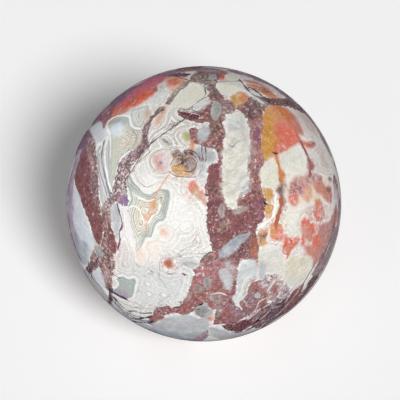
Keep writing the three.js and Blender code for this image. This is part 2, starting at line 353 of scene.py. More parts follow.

# pieces of agate and calcite held in the breccia, with a lilac band of painted reflection and three painted
# glints: tint, streaks, blend in mm, outline
shards = {
    "calcite": ("calcite", 0.8, 0.4, [
        234, 113, 240, 114, 244, 120, 248, 140, 247, 166, 248, 174, 246, 180, 242, 184, 237, 197, 237, 204,
        233, 208, 228, 206, 222, 186, 224, 180, 222, 172, 224, 159, 223, 151, 225, 145, 227, 121]),
    "calcite wisps": ("fog", 0.95, 0.8, [240, 186, 247, 181, 250, 185, 245, 192, 240, 196]),
    "calcite cool": ("pearl", 1.0, 1.6, [227, 118, 241, 116, 244, 124, 240, 130, 230, 132, 225, 126]),
    "calcite side": ("chalk", 0.9, 1.4, [246, 126, 250, 140, 250, 160, 246, 158, 245, 142]),
    "calcite low": ("chalk", 0.9, 1.4, [238, 172, 248, 174, 242, 186, 238, 194, 232, 186]),
    "top cream": ("bone", 0.2, 0.4, [
        188, 86, 196, 82, 207, 89, 208, 95, 189, 106, 181, 107, 176, 105, 170, 108, 177, 94]),
    "second cream": ("pearl", 0.6, 0.4, [193, 107, 200, 101, 206, 98, 210, 103, 203, 108, 194, 111]),
    "grey oval": ("flint", 0.2, 0.4, [213, 102, 218, 102, 222, 107, 218, 119, 214, 120, 211, 115]),
    "dotted grey": ("fog", 0.5, 0.4, [
        199, 128, 204, 125, 209, 128, 209, 135, 205, 141, 200, 142, 197, 136]),
    "lower dotted grey": ("fog", 0.5, 0.4, [
        197, 146, 212, 149, 217, 154, 216, 161, 204, 164, 198, 162, 195, 154]),
    "under oval grey": ("mist", 0.9, 0.4, [196, 164, 205, 163, 206, 172, 203, 180, 196, 178, 198, 170]),
    "right top cream": ("bone", 0.2, 0.4, [216, 86, 221, 83, 239, 82, 242, 87, 239, 91, 223, 94]),
    "rim cream": ("bone", 0.2, 0.4, [226, 75, 233, 74, 239, 76, 239, 80, 231, 80, 226, 79]),
    "rim grey": ("smoke", 0.2, 0.5, [209, 75, 215, 74, 217, 78, 214, 80, 209, 79]),
    "white sliver": ("pearl", 0.6, 0.2, [241, 83, 246, 88, 253, 93, 264, 103, 258, 101, 245, 91]),
    "blue lens": ("lensBlue", 0.35, 0.4, [219, 257, 224, 246, 237, 236, 249, 233, 248, 237, 230, 255]),
    "white point": ("fog", 0.5, 0.4, [219, 270, 226, 268, 231, 271, 233, 278, 230, 291, 221, 280]),
    "grey tooth": ("ash", 0.7, 0.4, [226, 261, 230, 262, 235, 268, 234, 274, 229, 271, 225, 266]),
    "pale hand": ("mist", 0.5, 0.4, [
        242, 262, 256, 261, 257, 278, 250, 281, 246, 294, 241, 300, 235, 302, 232, 298, 236, 292,
        238, 272]),
    "hand heart": ("mauve", 0.3, 0.6, [248, 278, 257, 276, 256, 281, 249, 284, 246, 293, 243, 294]),
    "white block": ("calcite", 0.5, 0.3, [
        281, 154, 288, 151, 295, 147, 301, 148, 306, 167, 305, 173, 296, 174, 281, 168]),
    "side block": ("bone", 0.4, 0.4, [260, 170, 276, 160, 278, 178, 277, 187, 270, 187, 264, 187]),
    "pale cloud": ("chalk", 0.4, 0.9, [
        260, 250, 276, 246, 284, 254, 283, 278, 276, 274, 266, 274, 260, 280, 258, 268]),
    "blue edge": ("fog", 0.1, 0.8, [259, 262, 264, 264, 264, 278, 260, 280, 258, 274]),
    "butter block": ("bone", 0.6, 1.6, [
        288, 257, 294, 255, 303, 257, 309, 256, 312, 261, 310, 270, 300, 284, 287, 284, 283, 276]),
    "butter heart": ("butter", 0.5, 1.4, [
        288, 259, 302, 259, 305, 264, 298, 267, 296, 273, 290, 277, 286, 270]),
    "butter edge": ("blush", 0.5, 1.2, [308, 258, 311, 262, 308, 272, 301, 281, 304, 272, 307, 265]),
    "butter foot": ("chalk", 0.5, 1.4, [286, 277, 294, 278, 300, 282, 293, 287, 287, 285]),
    "left pale": ("paleBlue", 0.35, 0.4, [
        73, 189, 78, 192, 82, 205, 90, 229, 95, 241, 94, 249, 90, 256, 89, 264, 83, 264, 77, 252, 72, 236,
        70, 218, 70, 202]),
    # painted reflection: a lilac band hugging the left limb, where the rim mirrors the surroundings
    "left rim": ("lilac", 0.3, 0.9, [
        (81, 150, 0.6), (77, 158, 2.4), (71.5, 180, 2.0), (69, 204, 4.2), (71, 227, 3.0), (77, 250, 3.6),
        (84, 264, 1.0)]),
    "left blue": ("blueGrey", 0.3, 1.2, [84, 240, 90, 250, 88, 264, 82, 263, 77, 250, 80, 240]),
    "blue above": ("paleBlue", 0.35, 0.4, [90, 130, 95, 124, 101, 122, 104, 137, 97, 149, 95, 140]),
    "white blue": ("fog", 0.35, 0.4, [
        112, 205, 117, 204, 121, 222, 118, 240, 117, 240, 114, 231, 111, 213]),
    "strip grey": ("smoke", 0.5, 0.3, [96, 246, 100, 248, 103, 254, 100, 258, 96, 253]),
    "slate window": ("paleBlue", 0.5, 0.4, [93, 271, 100, 272, 104, 280, 104, 287, 98, 282]),
    "bottom grey": ("fog", 0.35, 0.5, [
        160, 321, 168, 317, 188, 315, 197, 318, 205, 318, 210, 322, 209, 328, 197, 336, 186, 339, 172, 337,
        160, 334, 150, 329, 152, 324]),
    "bottom slate": ("blueGrey", 0.3, 1.0, [150, 329, 166, 331, 186, 334, 199, 334, 188, 340, 164, 337]),
    "grey cap": ("pewter", 0.3, 0.6, [
        194, 311, 200, 305, 206, 303, 209, 308, 214, 311, 210, 316, 203, 318, 196, 315]),
    "foot cream": ("fog", 0.2, 0.6, [
        210, 327, 226, 331, 234, 333, 246, 331, 256, 328, 264, 329, 250, 334, 236, 337, 222, 338,
        211, 336]),
    "leg window": ("pewter", 0.6, 0.3, [204, 279, 209, 277, 211, 282, 209, 288, 205, 287]),
    "leg window low": ("clay", 0.8, 0.3, [195, 287, 200, 285, 202, 289, 198, 293, 194, 291]),
    "leg bone": ("clay", 0.5, 0.4, [185, 296, 188, 292, 190, 296, 188, 301, 184, 301]),
    "foot slab": ("clay", 0.6, 0.4, [209, 294, 216, 293, 221, 296, 220, 300, 213, 300]),
    "green dot": ("teal", 0.2, 0.3, (257.5, 295.5, 3)),
    "plain slab": ("clay", 0.3, 0.6, [221, 204, 225, 207, 224, 216, 220, 217, 218, 210]),
    "plain slab right": ("clay", 0.4, 0.8, [232, 210, 242, 206, 249, 208, 243, 213, 235, 214]),
    "dark inclusion": ("umber", 0.4, 0.3, [161, 139, 166, 139, 170, 143, 169, 145, 163, 142]),
    "lilac lens": ("smoke", 0.6, 0.3, [181, 263, 187, 260, 196, 262, 200, 265, 192, 269, 185, 267]),
    # painted highlights: three small white glints where crystals catch the lamp
    "glint high": ("snow", 0.0, 0.3, (227.5, 115.5, 2.4)),
    "glint": ("snow", 0.0, 0.3, (225, 123, 3)),
    "glint low": ("snow", 0.0, 0.3, (244, 196, 1.3)),
}

# iron stains, and a violet rim band that is partly painted reflection: tint, crispness of the edge, blend in
# mm, outline
stains = {
    "top left coral": ("coral", 0.5, 0.8, [
        109, 120, 112, 110, 119, 102, 143, 84, 152, 80, 158, 82, 152, 97, 124, 112]),
    "top left flame": ("flame", 0.5, 0.9, [
        118, 105, 134, 99, 141, 93, 148, 91, 146, 98, 136, 103, 128, 108, 120, 109]),
    "top left salmon": ("salmon", 0.5, 0.8, [113, 114, 120, 109, 130, 109, 124, 113, 117, 117]),
    "top left magenta": ("cerise", 0.3, 1.8, [
        (171, 73.5, 1.2), (160, 78, 3.6), (149, 82.5, 4.2), (139, 88, 3.2), (129, 94, 4.4),
        (115, 105, 1.8)]),
    # violet band along the top left limb: partly the stone's purple, partly painted reflection of the dim
    # surroundings
    "top left plum": ("violet", 0.4, 1.4, [
        (140, 84.5, 0.8), (128, 91.5, 2.6), (116, 101, 3.6), (107, 109, 2.6), (99, 119, 4.2),
        (91, 130, 2.4), (86, 139, 0.8)]),
    "flame speck": ("wine", 0.8, 0.3, (133.5, 99, 1.6)),
    "edge speck": ("rust", 0.8, 0.3, (156, 90, 2.2)),
    "upper peach": ("peach", 0.25, 1.0, [165, 80, 174, 75, 186, 77, 187, 84, 177, 91, 168, 89]),
    "upper ember": ("coral", 0.3, 1.2, (175, 81.5, 5)),
    "orange drift": ("tan", 0.25, 0.8, [145, 112, 151, 110, 150, 120, 148, 128, 143, 127, 145, 119]),
    "orange drop": ("peach", 0.3, 0.6, [164, 106, 168, 105, 165, 113, 161, 120, 155, 126, 157, 117]),
    "cream spot": ("olive", 0.5, 0.4, (184, 103.5, 4)),
    "salmon eye": ("salmon", 0.3, 0.9, [153, 160, 156, 155, 169, 153, 166, 169, 160, 171, 155, 168]),
    "eye heart": ("petal", 0.2, 1.3, [159, 155, 170, 153, 172, 161, 168, 169, 161, 169]),
    "eye speck": ("umber", 0.5, 0.4, (161, 163, 1.3)),
    "brown cluster": ("tan", 0.7, 0.4, [
        170, 154, 177, 152, 183, 154, 189, 150, 196, 153, 201, 164, 196, 171, 193, 176, 176, 174, 171, 169,
        172, 161]),
    "cluster top": ("ringBrown", 0.8, 0.3, [171, 153, 177, 151, 183, 153, 182, 157, 175, 157, 171, 157]),
    "cluster heart": ("ringBrown", 0.7, 0.4, [177, 158, 183, 156, 196, 162, 197, 168, 192, 173, 179, 164]),
    "cluster gold": ("ochre", 0.8, 0.5, [172, 168, 178, 165, 186, 169, 187, 174, 179, 176, 173, 172]),
    "cluster umber": ("umber", 0.8, 0.4, [179, 159, 184, 158, 188, 163, 186, 167, 181, 164]),
    "cluster wine": ("wine", 0.8, 0.3, [183, 151, 189, 149, 197, 152, 199, 157, 192, 158, 184, 156]),
    "cluster grey": ("ash", 0.7, 0.4, [187, 161, 193, 160, 195, 167, 191, 171, 188, 168]),
    "ochre bud": ("olive", 0.5, 0.6, [182, 134, 187, 131, 190, 136, 188, 142, 183, 139]),
    "red bud": ("brick", 0.7, 0.5, [190, 131, 196, 129, 197, 136, 194, 142, 190, 140]),
    "bud trail": ("orange", 0.4, 0.6, [191, 140, 195, 140, 194, 150, 191, 150]),
    "coral eye": ("coral", 0.6, 0.6, [191, 181, 196, 182, 204, 195, 207, 202, 204, 204, 188, 190]),
    "eye tail": ("tan", 0.6, 0.8, [193, 188, 199, 190, 205, 199, 206, 205, 199, 201, 193, 195]),
    "coral dot": ("rust", 0.6, 0.5, (169, 264, 5)),
    "pink eye": ("blush", 0.2, 0.8, (165, 233, 5)),
    "pink eye heart": ("peach", 0.1, 0.9, (165, 233, 3)),
    "tan junction": ("blush", 0.2, 0.9, [138, 248, 143, 248, 146, 256, 142, 263, 137, 260]),
    "olive heart": ("ochre", 0.3, 0.7, [151, 198, 156, 197, 156, 206, 153, 210, 151, 204]),
    "rosy side": ("peach", 0.4, 0.6, [91, 237, 96, 238, 97, 246, 92, 248]),
    "red foot": ("coral", 0.6, 0.6, [109, 245, 116, 245, 115, 252, 110, 251]),
    "rim ember": ("coral", 0.6, 0.5, [218, 75, 223, 74, 225, 78, 221, 80, 218, 79]),
    "rim pink": ("rose", 0.4, 0.7, [217, 71, 228, 71, 226, 75, 218, 75]),
    "ochre block": ("ochre", 0.7, 0.5, [230, 98, 241, 91, 250, 98, 250, 103, 240, 110, 235, 108]),
    "block orange": ("orange", 0.6, 0.9, [243, 92, 249, 97, 250, 104, 244, 105, 241, 99]),
    "rim sliver": ("orange", 0.8, 0.4, [246, 84, 264, 87, 280, 99, 272, 99, 265, 95, 251, 88]),
    "sliver rust": ("rust", 0.8, 0.6, [256, 86, 264, 87, 270, 93, 262, 92, 256, 89]),
    "rim pink strip": ("salmon", 0.5, 0.7, [241, 80, 250, 80, 262, 84, 274, 92, 266, 88, 254, 84]),
    "fire": ("coral", 0.3, 1.2, [
        266, 106, 284, 107, 291, 112, 296, 120, 301, 138, 306, 142, 312, 141, 315, 145, 311, 149, 299, 144,
        284, 154, 277, 154, 266, 162, 261, 160, 259, 140, 262, 122]),
    "fire fade": ("salmon", 0.1, 1.6, [(286, 110, 1.2), (293, 117, 1.6), (298, 127, 1.6), (302, 136, 1.2)]),
    "fire orange": ("orange", 0.4, 1.6, [
        265, 107, 274, 104, 284, 107, 290, 113, 289, 121, 272, 120, 266, 114]),
    "fire flame": ("flame", 0.5, 1.2, [280, 128, 288, 128, 295, 134, 297, 141, 290, 144, 283, 136]),
    "fire gold": ("gold", 0.5, 1.2, [
        262, 113, 272, 111, 275, 122, 274, 132, 277, 140, 274, 157, 263, 162, 262, 155, 260, 134,
        263, 126]),
    "gold foot": ("ochre", 0.45, 1.0, [263, 150, 270, 150, 272, 158, 266, 162, 261, 163]),
    "fire block": ("coral", 0.8, 0.4, [278, 146, 284, 144, 289, 150, 286, 153, 280, 153, 277, 151]),
    "ochre patch": ("ochre", 0.6, 0.6, [262, 188, 268, 187, 273, 191, 274, 197, 269, 200, 263, 197]),
    "gold patch": ("gold", 0.8, 0.5, [264, 206, 269, 204, 274, 206, 273, 213, 270, 218, 265, 219]),
    "vein": ("orange", 0.6, 0.5, [
        (275.5, 153, 0.4), (277, 160, 0.9), (279.5, 168, 0.8), (281, 175, 1.2), (281.5, 182, 0.9)]),
    "brown knot": ("brick", 0.7, 0.5, [276, 187, 279, 184, 286, 183, 288, 189, 282, 198, 278, 194]),
    "knot heart": ("umber", 0.6, 0.6, [(281, 183, 0.6), (283, 189, 1.0), (281, 195, 0.5)]),
    "red knot": ("rose", 0.7, 0.6, [280, 199, 285, 198, 288, 203, 284, 208, 280, 208]),
    "cloud ground": ("blush", 0.3, 1.2, [
        285, 186, 290, 179, 306, 172, 323, 176, 331, 182, 333, 194, 329, 203, 320, 200, 297, 208,
        289, 207]),
    "salmon cloud": ("salmon", 0.7, 0.6, [
        291, 180, 304, 176, 307, 182, 311, 188, 312, 196, 307, 201, 298, 193, 298, 199, 294, 206,
        289, 202]),
    "cloud tan": ("dustyRose", 0.6, 0.8, [293, 178, 300, 176, 305, 178, 303, 183, 294, 183]),
    "cloud red": ("rose", 0.85, 0.8, [290, 185, 302, 184, 306, 190, 302, 195, 297, 193, 291, 195]),
    "cloud foot": ("coral", 0.8, 0.5, [289, 196, 297, 195, 297, 201, 293, 206, 289, 202]),
    "cloud pale": ("peach", 0.6, 0.7, [304, 190, 310, 189, 312, 195, 308, 200, 304, 197]),
    "pink stem": ("petal", 0.5, 0.6, [304, 165, 310, 165, 310, 176, 305, 178]),
    "red shoulder": ("rose", 0.8, 0.7, [
        306, 176, 311, 173, 318, 174, 322, 178, 321, 183, 316, 181, 307, 182]),
    "shoulder leg": ("salmon", 0.8, 0.7, [315, 181, 319, 181, 324, 187, 324, 194, 319, 194, 316, 189]),
    "leg shade": ("rose", 0.6, 0.5, [325, 188, 330, 186, 332, 193, 331, 202, 327, 200]),
    "drift specks": ("umber", 0.5, 0.6, (330, 179, 2)),
    "vein blob": ("rose", 0.6, 0.7, [308, 160, 313, 160, 315, 166, 313, 171, 308, 169]),
    "arm blob": ("rose", 0.6, 0.6, (313, 144.5, 3.4)),
    "salmon drift": ("salmon", 0.4, 0.9, [314, 181, 326, 188, 331, 190, 332, 197, 326, 199, 316, 188]),
    "drift specks low": ("brick", 0.5, 0.6, (328, 190, 2.4)),
    "side coral": ("salmon", 0.8, 0.5, [317, 200, 321, 201, 325, 214, 323, 220, 317, 221, 313, 211]),
    "side amber": ("orange", 0.7, 0.7, (318, 203, 2.8)),
    "side pink": ("coral", 0.8, 0.5, [(316, 207, 0.6), (317, 213, 1.0), (319, 220, 0.6)]),
    "rust heart": ("orange", 0.75, 0.6, [270, 227, 275, 222, 284, 229, 281, 239, 276, 241, 271, 238]),
    "heart rim": ("coral", 0.75, 0.8, [278, 227, 284, 229, 284, 235, 280, 240, 272, 240, 279, 234]),
    "gold pair": ("ochre", 0.75, 0.5, [258, 231, 269, 229, 267, 240, 267, 244, 261, 246, 258, 242]),
    "pair shade": ("maroon", 0.6, 0.5, [259, 234, 267, 234, 266, 238, 259, 238]),
    "rust shade": ("rust", 0.4, 0.9, [250, 236, 257, 235, 259, 243, 256, 250, 251, 246]),
    "ember": ("flame", 0.5, 0.7, [251, 262, 256, 260, 258, 266, 255, 269, 251, 267]),
    "ypsilon": ("salmon", 0.5, 0.4, [
        283, 238, 286, 234, 291, 243, 297, 236, 298, 244, 291, 251, 290, 256, 287, 258, 287, 254, 283, 251,
        282, 246, 284, 242]),
    "ypsilon heart": ("coral", 0.5, 0.5, [286, 237, 289, 241, 287, 245, 284, 246, 285, 241]),
    "right flames": ("coral", 0.7, 0.7, [
        300, 228, 304, 216, 310, 222, 318, 225, 318, 231, 312, 237, 304, 229, 302, 232]),
    "flames heart": ("flame", 0.8, 0.5, [311, 224, 316, 225, 316, 230, 312, 230]),
    "flames fade": ("salmon", 0.4, 1.2, [302, 226, 309, 228, 314, 236, 310, 244, 304, 240, 302, 232]),
    "small flames": ("coral", 0.6, 0.6, [301, 237, 304, 236, 306, 240, 304, 246, 301, 244]),
    "right curtain": ("dustyRose", 0.4, 1.2, [
        320, 225, 327, 222, 332, 216, 334, 207, 338, 210, 337, 222, 332, 233, 328, 243, 318, 262, 313, 268,
        312, 258, 313, 238, 317, 232]),
    "curtain red": ("coral", 0.4, 1.0, [312, 238, 318, 232, 319, 244, 317, 252, 312, 249]),
    "curtain foot": ("salmon", 0.3, 1.2, [303, 246, 312, 244, 318, 252, 314, 260, 306, 257]),
    "clump coral": ("coral", 0.5, 0.8, [258, 288, 264, 286, 270, 288, 268, 295, 262, 294]),
    "sole coral": ("salmon", 0.3, 1.0, [224, 318, 234, 316, 242, 318, 234, 324, 226, 324]),
    "cap coral": ("salmon", 0.3, 0.9, [203, 317, 212, 315, 214, 320, 208, 322]),
    "streak coral": ("rust", 0.5, 0.8, [290, 296, 296, 294, 296, 302, 290, 305]),
}

# dark hairlines, and dark lines of painted reflection along the limb: tint, half width in mm, points
hairlines = {
    "brown crack": ("umber", 0.15, [186, 118, 154, 141, 148, 148]),
    "stripe": ("slate", 0.22, [104, 141, 102, 160, 111, 200]),
    "stripe inner": ("ash", 0.14, [108, 204, 106, 192, 100, 172, 99, 160]),
    "wavy": ("plum", 0.22, [117, 204, 122, 222, 121, 229, 119, 232, 120, 240, 118, 248]),
    "seam top": ("smoke", 0.14, [217, 81.5, 228, 81.5, 240, 81]),
    "seam cream": ("ash", 0.14, [190, 108, 202, 99, 207, 97]),
    "calcite crack": ("ash", 0.14, [229, 145, 233, 147, 236, 143, 240, 141]),
    "pair left": ("umber", 0.13, [202, 145, 202, 152, 203, 160]),
    "pair right": ("umber", 0.13, [206, 160, 206, 153, 205, 146]),
    "sliver edge": ("umber", 0.24, [240, 80, 250, 92, 262, 100]),
    "sliver shade": ("ink", 0.3, [251, 88, 256, 91, 261, 95]),
    # painted reflection: a dark line along the lower left limb
    "low rim": ("slate", 0.3, [83, 268, 89, 281, 97, 292, 104, 299, 110, 305, 119, 312, 131, 320]),
    "low rim inner": ("ink", 0.24, [88, 262, 90, 270, 93, 279, 98, 284, 103, 290]),
    "low rim outer": ("lensBlue", 0.22, [88, 273, 94, 283, 101, 291, 107, 297, 110, 301]),
    "low rim far": ("slate", 0.2, [114, 303, 121, 310, 131, 316, 152, 325]),
    "fan one": ("ink", 0.2, [114, 298, 124, 308, 128, 311, 135, 311, 140, 313, 151, 313]),
    "fan thick": ("dusk", 0.4, [111, 290, 116, 294, 127, 299.5]),
    "fan inner": ("umber", 0.1, [113, 296, 119, 301, 127, 305, 138, 308, 150, 309]),
    "fan middle": ("ink", 0.16, [112, 299, 118, 306, 126, 312, 136, 316, 146, 318]),
    "fan outer": ("slate", 0.2, [111, 303, 118, 309, 128, 316, 139, 320, 150, 321]),
    "fan thin": ("ash", 0.12, [127, 300, 131, 302, 136, 303, 142, 306]),
    "pocket line": ("umber", 0.13, [110, 264, 111, 272, 119, 278]),
    "fan two": ("ink", 0.3, [110, 289, 110, 296, 111, 303]),
    "fan three": ("ink", 0.3, [150, 317, 137, 319, 131, 318, 124, 313]),
    "fan four": ("ink", 0.3, [132, 321, 148, 323, 153, 321]),
    "fan five": ("ash", 0.15, [112, 296, 121, 308, 128, 314]),
    "loop low": ("smoke", 0.14, [150, 305, 158, 308, 162, 312]),
    "tan wave": ("tan", 0.12, [127, 131, 131, 136, 129, 142, 124, 148]),
    "tan wave two": ("ringBrown", 0.08, [133, 131, 137, 137, 134, 144, 128, 150]),
    "tan wave three": ("tan", 0.1, [139, 131, 142, 137, 133, 148]),
    "cluster ring": ("umber", 0.11, [171, 164, 174, 158, 179, 155, 183, 158, 181, 164, 176, 166]),
    "cluster ring two": ("umber", 0.11, [
        183, 164, 186, 159, 191, 158, 196, 162, 195, 168, 190, 172, 185, 171]),
    "cluster ring three": ("umber", 0.11, [184, 154, 190, 150, 197, 154, 200, 160]),
    "cluster ring four": ("ringBrown", 0.09, [169, 171, 176, 176, 195, 177, 201, 171]),
    "eye ring": ("ringBrown", 0.07, [170, 150, 161, 150, 154, 154, 150, 161, 153, 168, 160, 173, 168, 173]),
    "lobe ring": ("ringBrown", 0.06, [
        178, 121, 166, 126, 155, 133, 146, 146, 150, 152, 143, 158, 136, 166, 134, 172, 138, 180, 146, 187,
        155, 184]),
    # painted reflection: dark lines along the left and bottom limb, where the rim mirrors the dim
    # surroundings
    "rim dark": ("plum", 0.34, [72, 172, 69, 184, 67, 200, 68, 216, 71, 232, 75, 246, 80, 258]),
    "bottom edge": ("ink", 0.35, [150, 330, 166, 336, 178, 339, 188, 339]),
    "column dark": ("dusk", 0.14, [246, 103, 250, 108, 249, 114, 253, 120]),
    "sole dark": ("night", 0.34, [251, 325, 256, 322, 260, 320]),
    "sole dark two": ("ink", 0.4, [277, 305, 281, 303, 285, 300]),
    "sole dark three": ("ink", 0.16, [262, 314, 270, 310, 277, 309, 287, 302, 292, 295]),
    "sole dark four": ("wine", 0.18, [232, 326, 242, 323, 252, 318, 262, 309]),
    "channel line": ("dusk", 0.13, [168, 75, 178, 77, 197, 83, 204, 87, 206, 94]),
    "channel line two": ("ink", 0.1, [196, 71, 202, 75, 207, 82, 213, 87, 215, 95, 220, 102]),
    "cream edge": ("umber", 0.12, [180, 109, 192, 110, 197, 112]),
    "wedge line": ("umber", 0.12, [147, 138, 141, 151, 132, 157, 126, 165, 122, 176, 121, 188]),
    "wedge line two": ("umber", 0.1, [144, 150, 131, 172, 125, 180, 126, 190]),
    "wedge line three": ("dusk", 0.1, [119, 164, 118, 176, 114, 196]),
    "strip line": ("umber", 0.11, [101, 206, 104, 214, 102, 222, 106, 230, 104, 238, 108, 247]),
    "strip line two": ("umber", 0.1, [109, 203, 106, 213, 109, 224, 107, 236, 109, 244]),
    "strip line three": ("dusk", 0.13, [95, 249, 99, 256, 96, 262, 101, 268, 105, 276]),
    "strip line four": ("umber", 0.1, [103, 250, 109, 256, 105, 264, 111, 271, 108, 281]),
    "squiggle one": ("ringGrey", 0.07, [161, 259, 178, 257, 186, 258, 196, 257, 206, 258]),
    "squiggle two": ("ringGrey", 0.07, [206, 253, 198, 254, 190, 253, 177, 256, 184, 249, 193, 246]),
    "squiggle three": ("ringBrown", 0.07, [192, 243, 196, 237, 199, 233]),
    "squiggle four": ("ringGrey", 0.07, [159, 262, 160, 270, 159, 278, 162, 281, 166, 287]),
    "squiggle five": ("ringGrey", 0.06, [161, 301, 165, 299, 169, 296]),
    "thin streak": ("umber", 0.24, [302, 285, 306, 279, 313, 267]),
    "arm": ("ash", 0.12, [219, 259, 214, 262, 214, 268]),
    "left dot": ("ink", 0.2, [98, 284, 98.5, 284]),
    "leg dot": ("night", 0.28, [180, 302, 181.5, 302]),
    "leg dot low": ("night", 0.26, [177, 307, 178.5, 307]),
    "leg dot right": ("night", 0.24, [200, 305, 202, 304]),
    "cap dot": ("ink", 0.26, [196, 309, 198, 309.5]),
    "field dot": ("umber", 0.26, [184, 274, 186, 275]),
    "field dot two": ("ash", 0.2, [151, 271, 152, 272]),
    "field dot three": ("ash", 0.18, [169, 274, 171, 274]),
    "ochre dot": ("wine", 0.26, [274.5, 153, 276, 153.5]),
    "ochre dot two": ("umber", 0.2, [265, 130, 266, 131]),
    "white dots": ("ash", 0.16, [263, 143, 263.5, 144]),
    "spine dot": ("night", 0.26, [265, 203, 266.5, 204]),
}

# white threads of lace, and a painted glint streak: tint, half width in mm, points
threads = {
    "sole vein": ("petal", 0.13, [243, 331, 262, 318, 272, 309, 280, 303, 286, 294]),
    "sole vein two": ("veil", 0.11, [238, 322, 248, 317, 256, 309, 259, 302, 266, 298]),
    "sole vein three": ("petal", 0.12, [259, 329, 268, 320, 278, 314, 288, 304, 297, 293, 303, 284]),
    "sole vein four": ("lilac", 0.14, [268, 312, 275, 303, 283, 299, 296, 284]),
    "shard light": ("petal", 0.13, [181, 111, 188, 112, 197, 114.5]),
    # painted highlight: a white zigzag glint streak and its arm
    "lightning": ("snow", 0.3, [96, 149, 99, 145, 107, 137]),
    "lightning arm": ("snow", 0.22, [98, 144, 101, 143, 102, 147, 100, 151]),
    "wedge edge": ("snow", 0.22, [121, 158, 125, 154.5, 130, 151]),
    "pocket edge": ("snow", 0.24, [
        108, 122, 113, 118, 120, 115.5, 129, 117, 130.5, 123, 134, 127.5, 141, 129]),
    "stripe light": ("snow", 0.3, [107, 140, 105, 150, 105, 162, 109, 184, 112, 192]),
    "stripe light two": ("petal", 0.22, [109, 205, 103, 186, 99, 158]),
    "white seam": ("snow", 0.3, [276, 196, 274, 212, 271, 219, 258, 228]),
    "low seam": ("blush", 0.22, [269, 231, 268, 244, 266, 249]),
    "pink seam": ("petal", 0.2, [249, 319, 263, 308, 270, 304]),
    "pale band": ("veil", 0.5, [124, 207, 127, 216, 129, 227, 135, 246]),
    "arch": ("petal", 0.2, [283, 306, 292, 292, 300, 286]),
    "leg seam": ("petal", 0.16, [212, 294, 220, 293, 226, 295]),
    "hand rim": ("bone", 0.12, [236, 300, 241, 292, 243, 283, 249, 277, 257, 275]),
    "hand rim two": ("chalk", 0.1, [238, 300, 243, 293, 246, 285, 251, 280, 257, 278]),
    "speckle seam": ("petal", 0.25, [268, 291, 271, 286, 275, 281]),
    "curl": ("snow", 0.2, [152, 200, 147, 201, 135, 195]),
    "hook": ("snow", 0.2, [160, 205, 158, 212, 153, 216, 149, 222]),
    "outer": ("snow", 0.18, [130, 207, 134, 206, 139, 209, 144, 222]),
}

# red and orange threads: tint, half width in mm, points
emberThreads = {
    "main": ("orange", 0.3, [275, 154, 279.5, 168, 282, 183]),
    "main heart": ("ringBrown", 0.14, [279, 179, 282, 184, 281, 199]),
    "main low": ("rust", 0.5, [281, 199, 281, 206, 277, 219, 276, 226]),
    "second": ("rose", 0.42, [301, 142, 310, 162, 310, 175]),
    "lobe seam": ("peach", 0.15, [171, 172, 160, 188, 148, 212]),
    "fork": ("peach", 0.22, [157, 210, 147, 221, 146, 230]),
    "fork arm": ("peach", 0.2, [141, 212, 145, 217, 147, 222]),
    "ypsilon left": ("flame", 0.17, [287, 236, 283, 251.5, 286, 254]),
    "ypsilon inner": ("flame", 0.15, [289, 238, 290.8, 242.3, 287.7, 245.4, 283.8, 246.5]),
    "ypsilon right": ("flame", 0.17, [297, 237, 293.8, 239.2, 291.5, 243, 288.5, 244.6]),
    "ypsilon foot": ("flame", 0.2, [298.8, 240.5, 296.2, 243.8, 292.3, 247, 287.7, 257]),
}


# the sides away from the camera, laid out by azimuth from the front towards +X and by elevation:
# a patch is azimuth, elevation, length and width in mm and the turn of its long side, a line is azimuth and
# elevation of one point after another, and a ribbon is a row of azimuth, elevation and half width in mm
backWashes = {
    "upper back": (200, 4, 17, "lace", 0.9, 0.0),
    "upper back right": (150, 2, 15, "lace", 0.8, 0.3),
    "left side": (262, -22, 16, "pearl", 0.6, 0.8),
    "right side": (98, -16, 15, "bone", 0.6, 0.3),
    "low front": (350, -52, 16, "lace", 0.8, 0.4),
    "low back": (190, -56, 16, "blush", 0.6, 0.2),
    "white back": (222, -30, 9, "snow", 0.5, 0.0),
    "rosy side": (120, -30, 10, "blush", 0.4, 0.0),
}
backEyes = {
    "high": (193, 16),
    "middle": (156, -4),
    "left": (246, -30),
    "right": (104, -22),
    "low": (10, -50),
    "far": (212, -8),
}
backChalcedony = {
    "high pocket": ("sage", 0.9, 0.6, (206, 18, 15, 8, 30)),
    "right pocket": ("beige", 0.8, 0.7, (150, 15, 14, 8, -40)),
    "left pocket": ("sage", 0.95, 0.6, (254, -10, 17, 8, 75)),
    "side pocket": ("mist", 0.7, 0.6, (105, 0, 12, 7, 80)),
    "low pocket": ("teal", 0.7, 0.6, (152, -36, 14, 8, 10)),
    "inner pocket": ("sage", 0.9, 0.5, (203, -14, 11, 7, 60)),
    "foot pocket": ("beige", 0.7, 0.6, (330, -48, 14, 8, 20)),
    "right foot pocket": ("pearl", 0.7, 0.6, (62, -30, 10, 6, 40)),
}
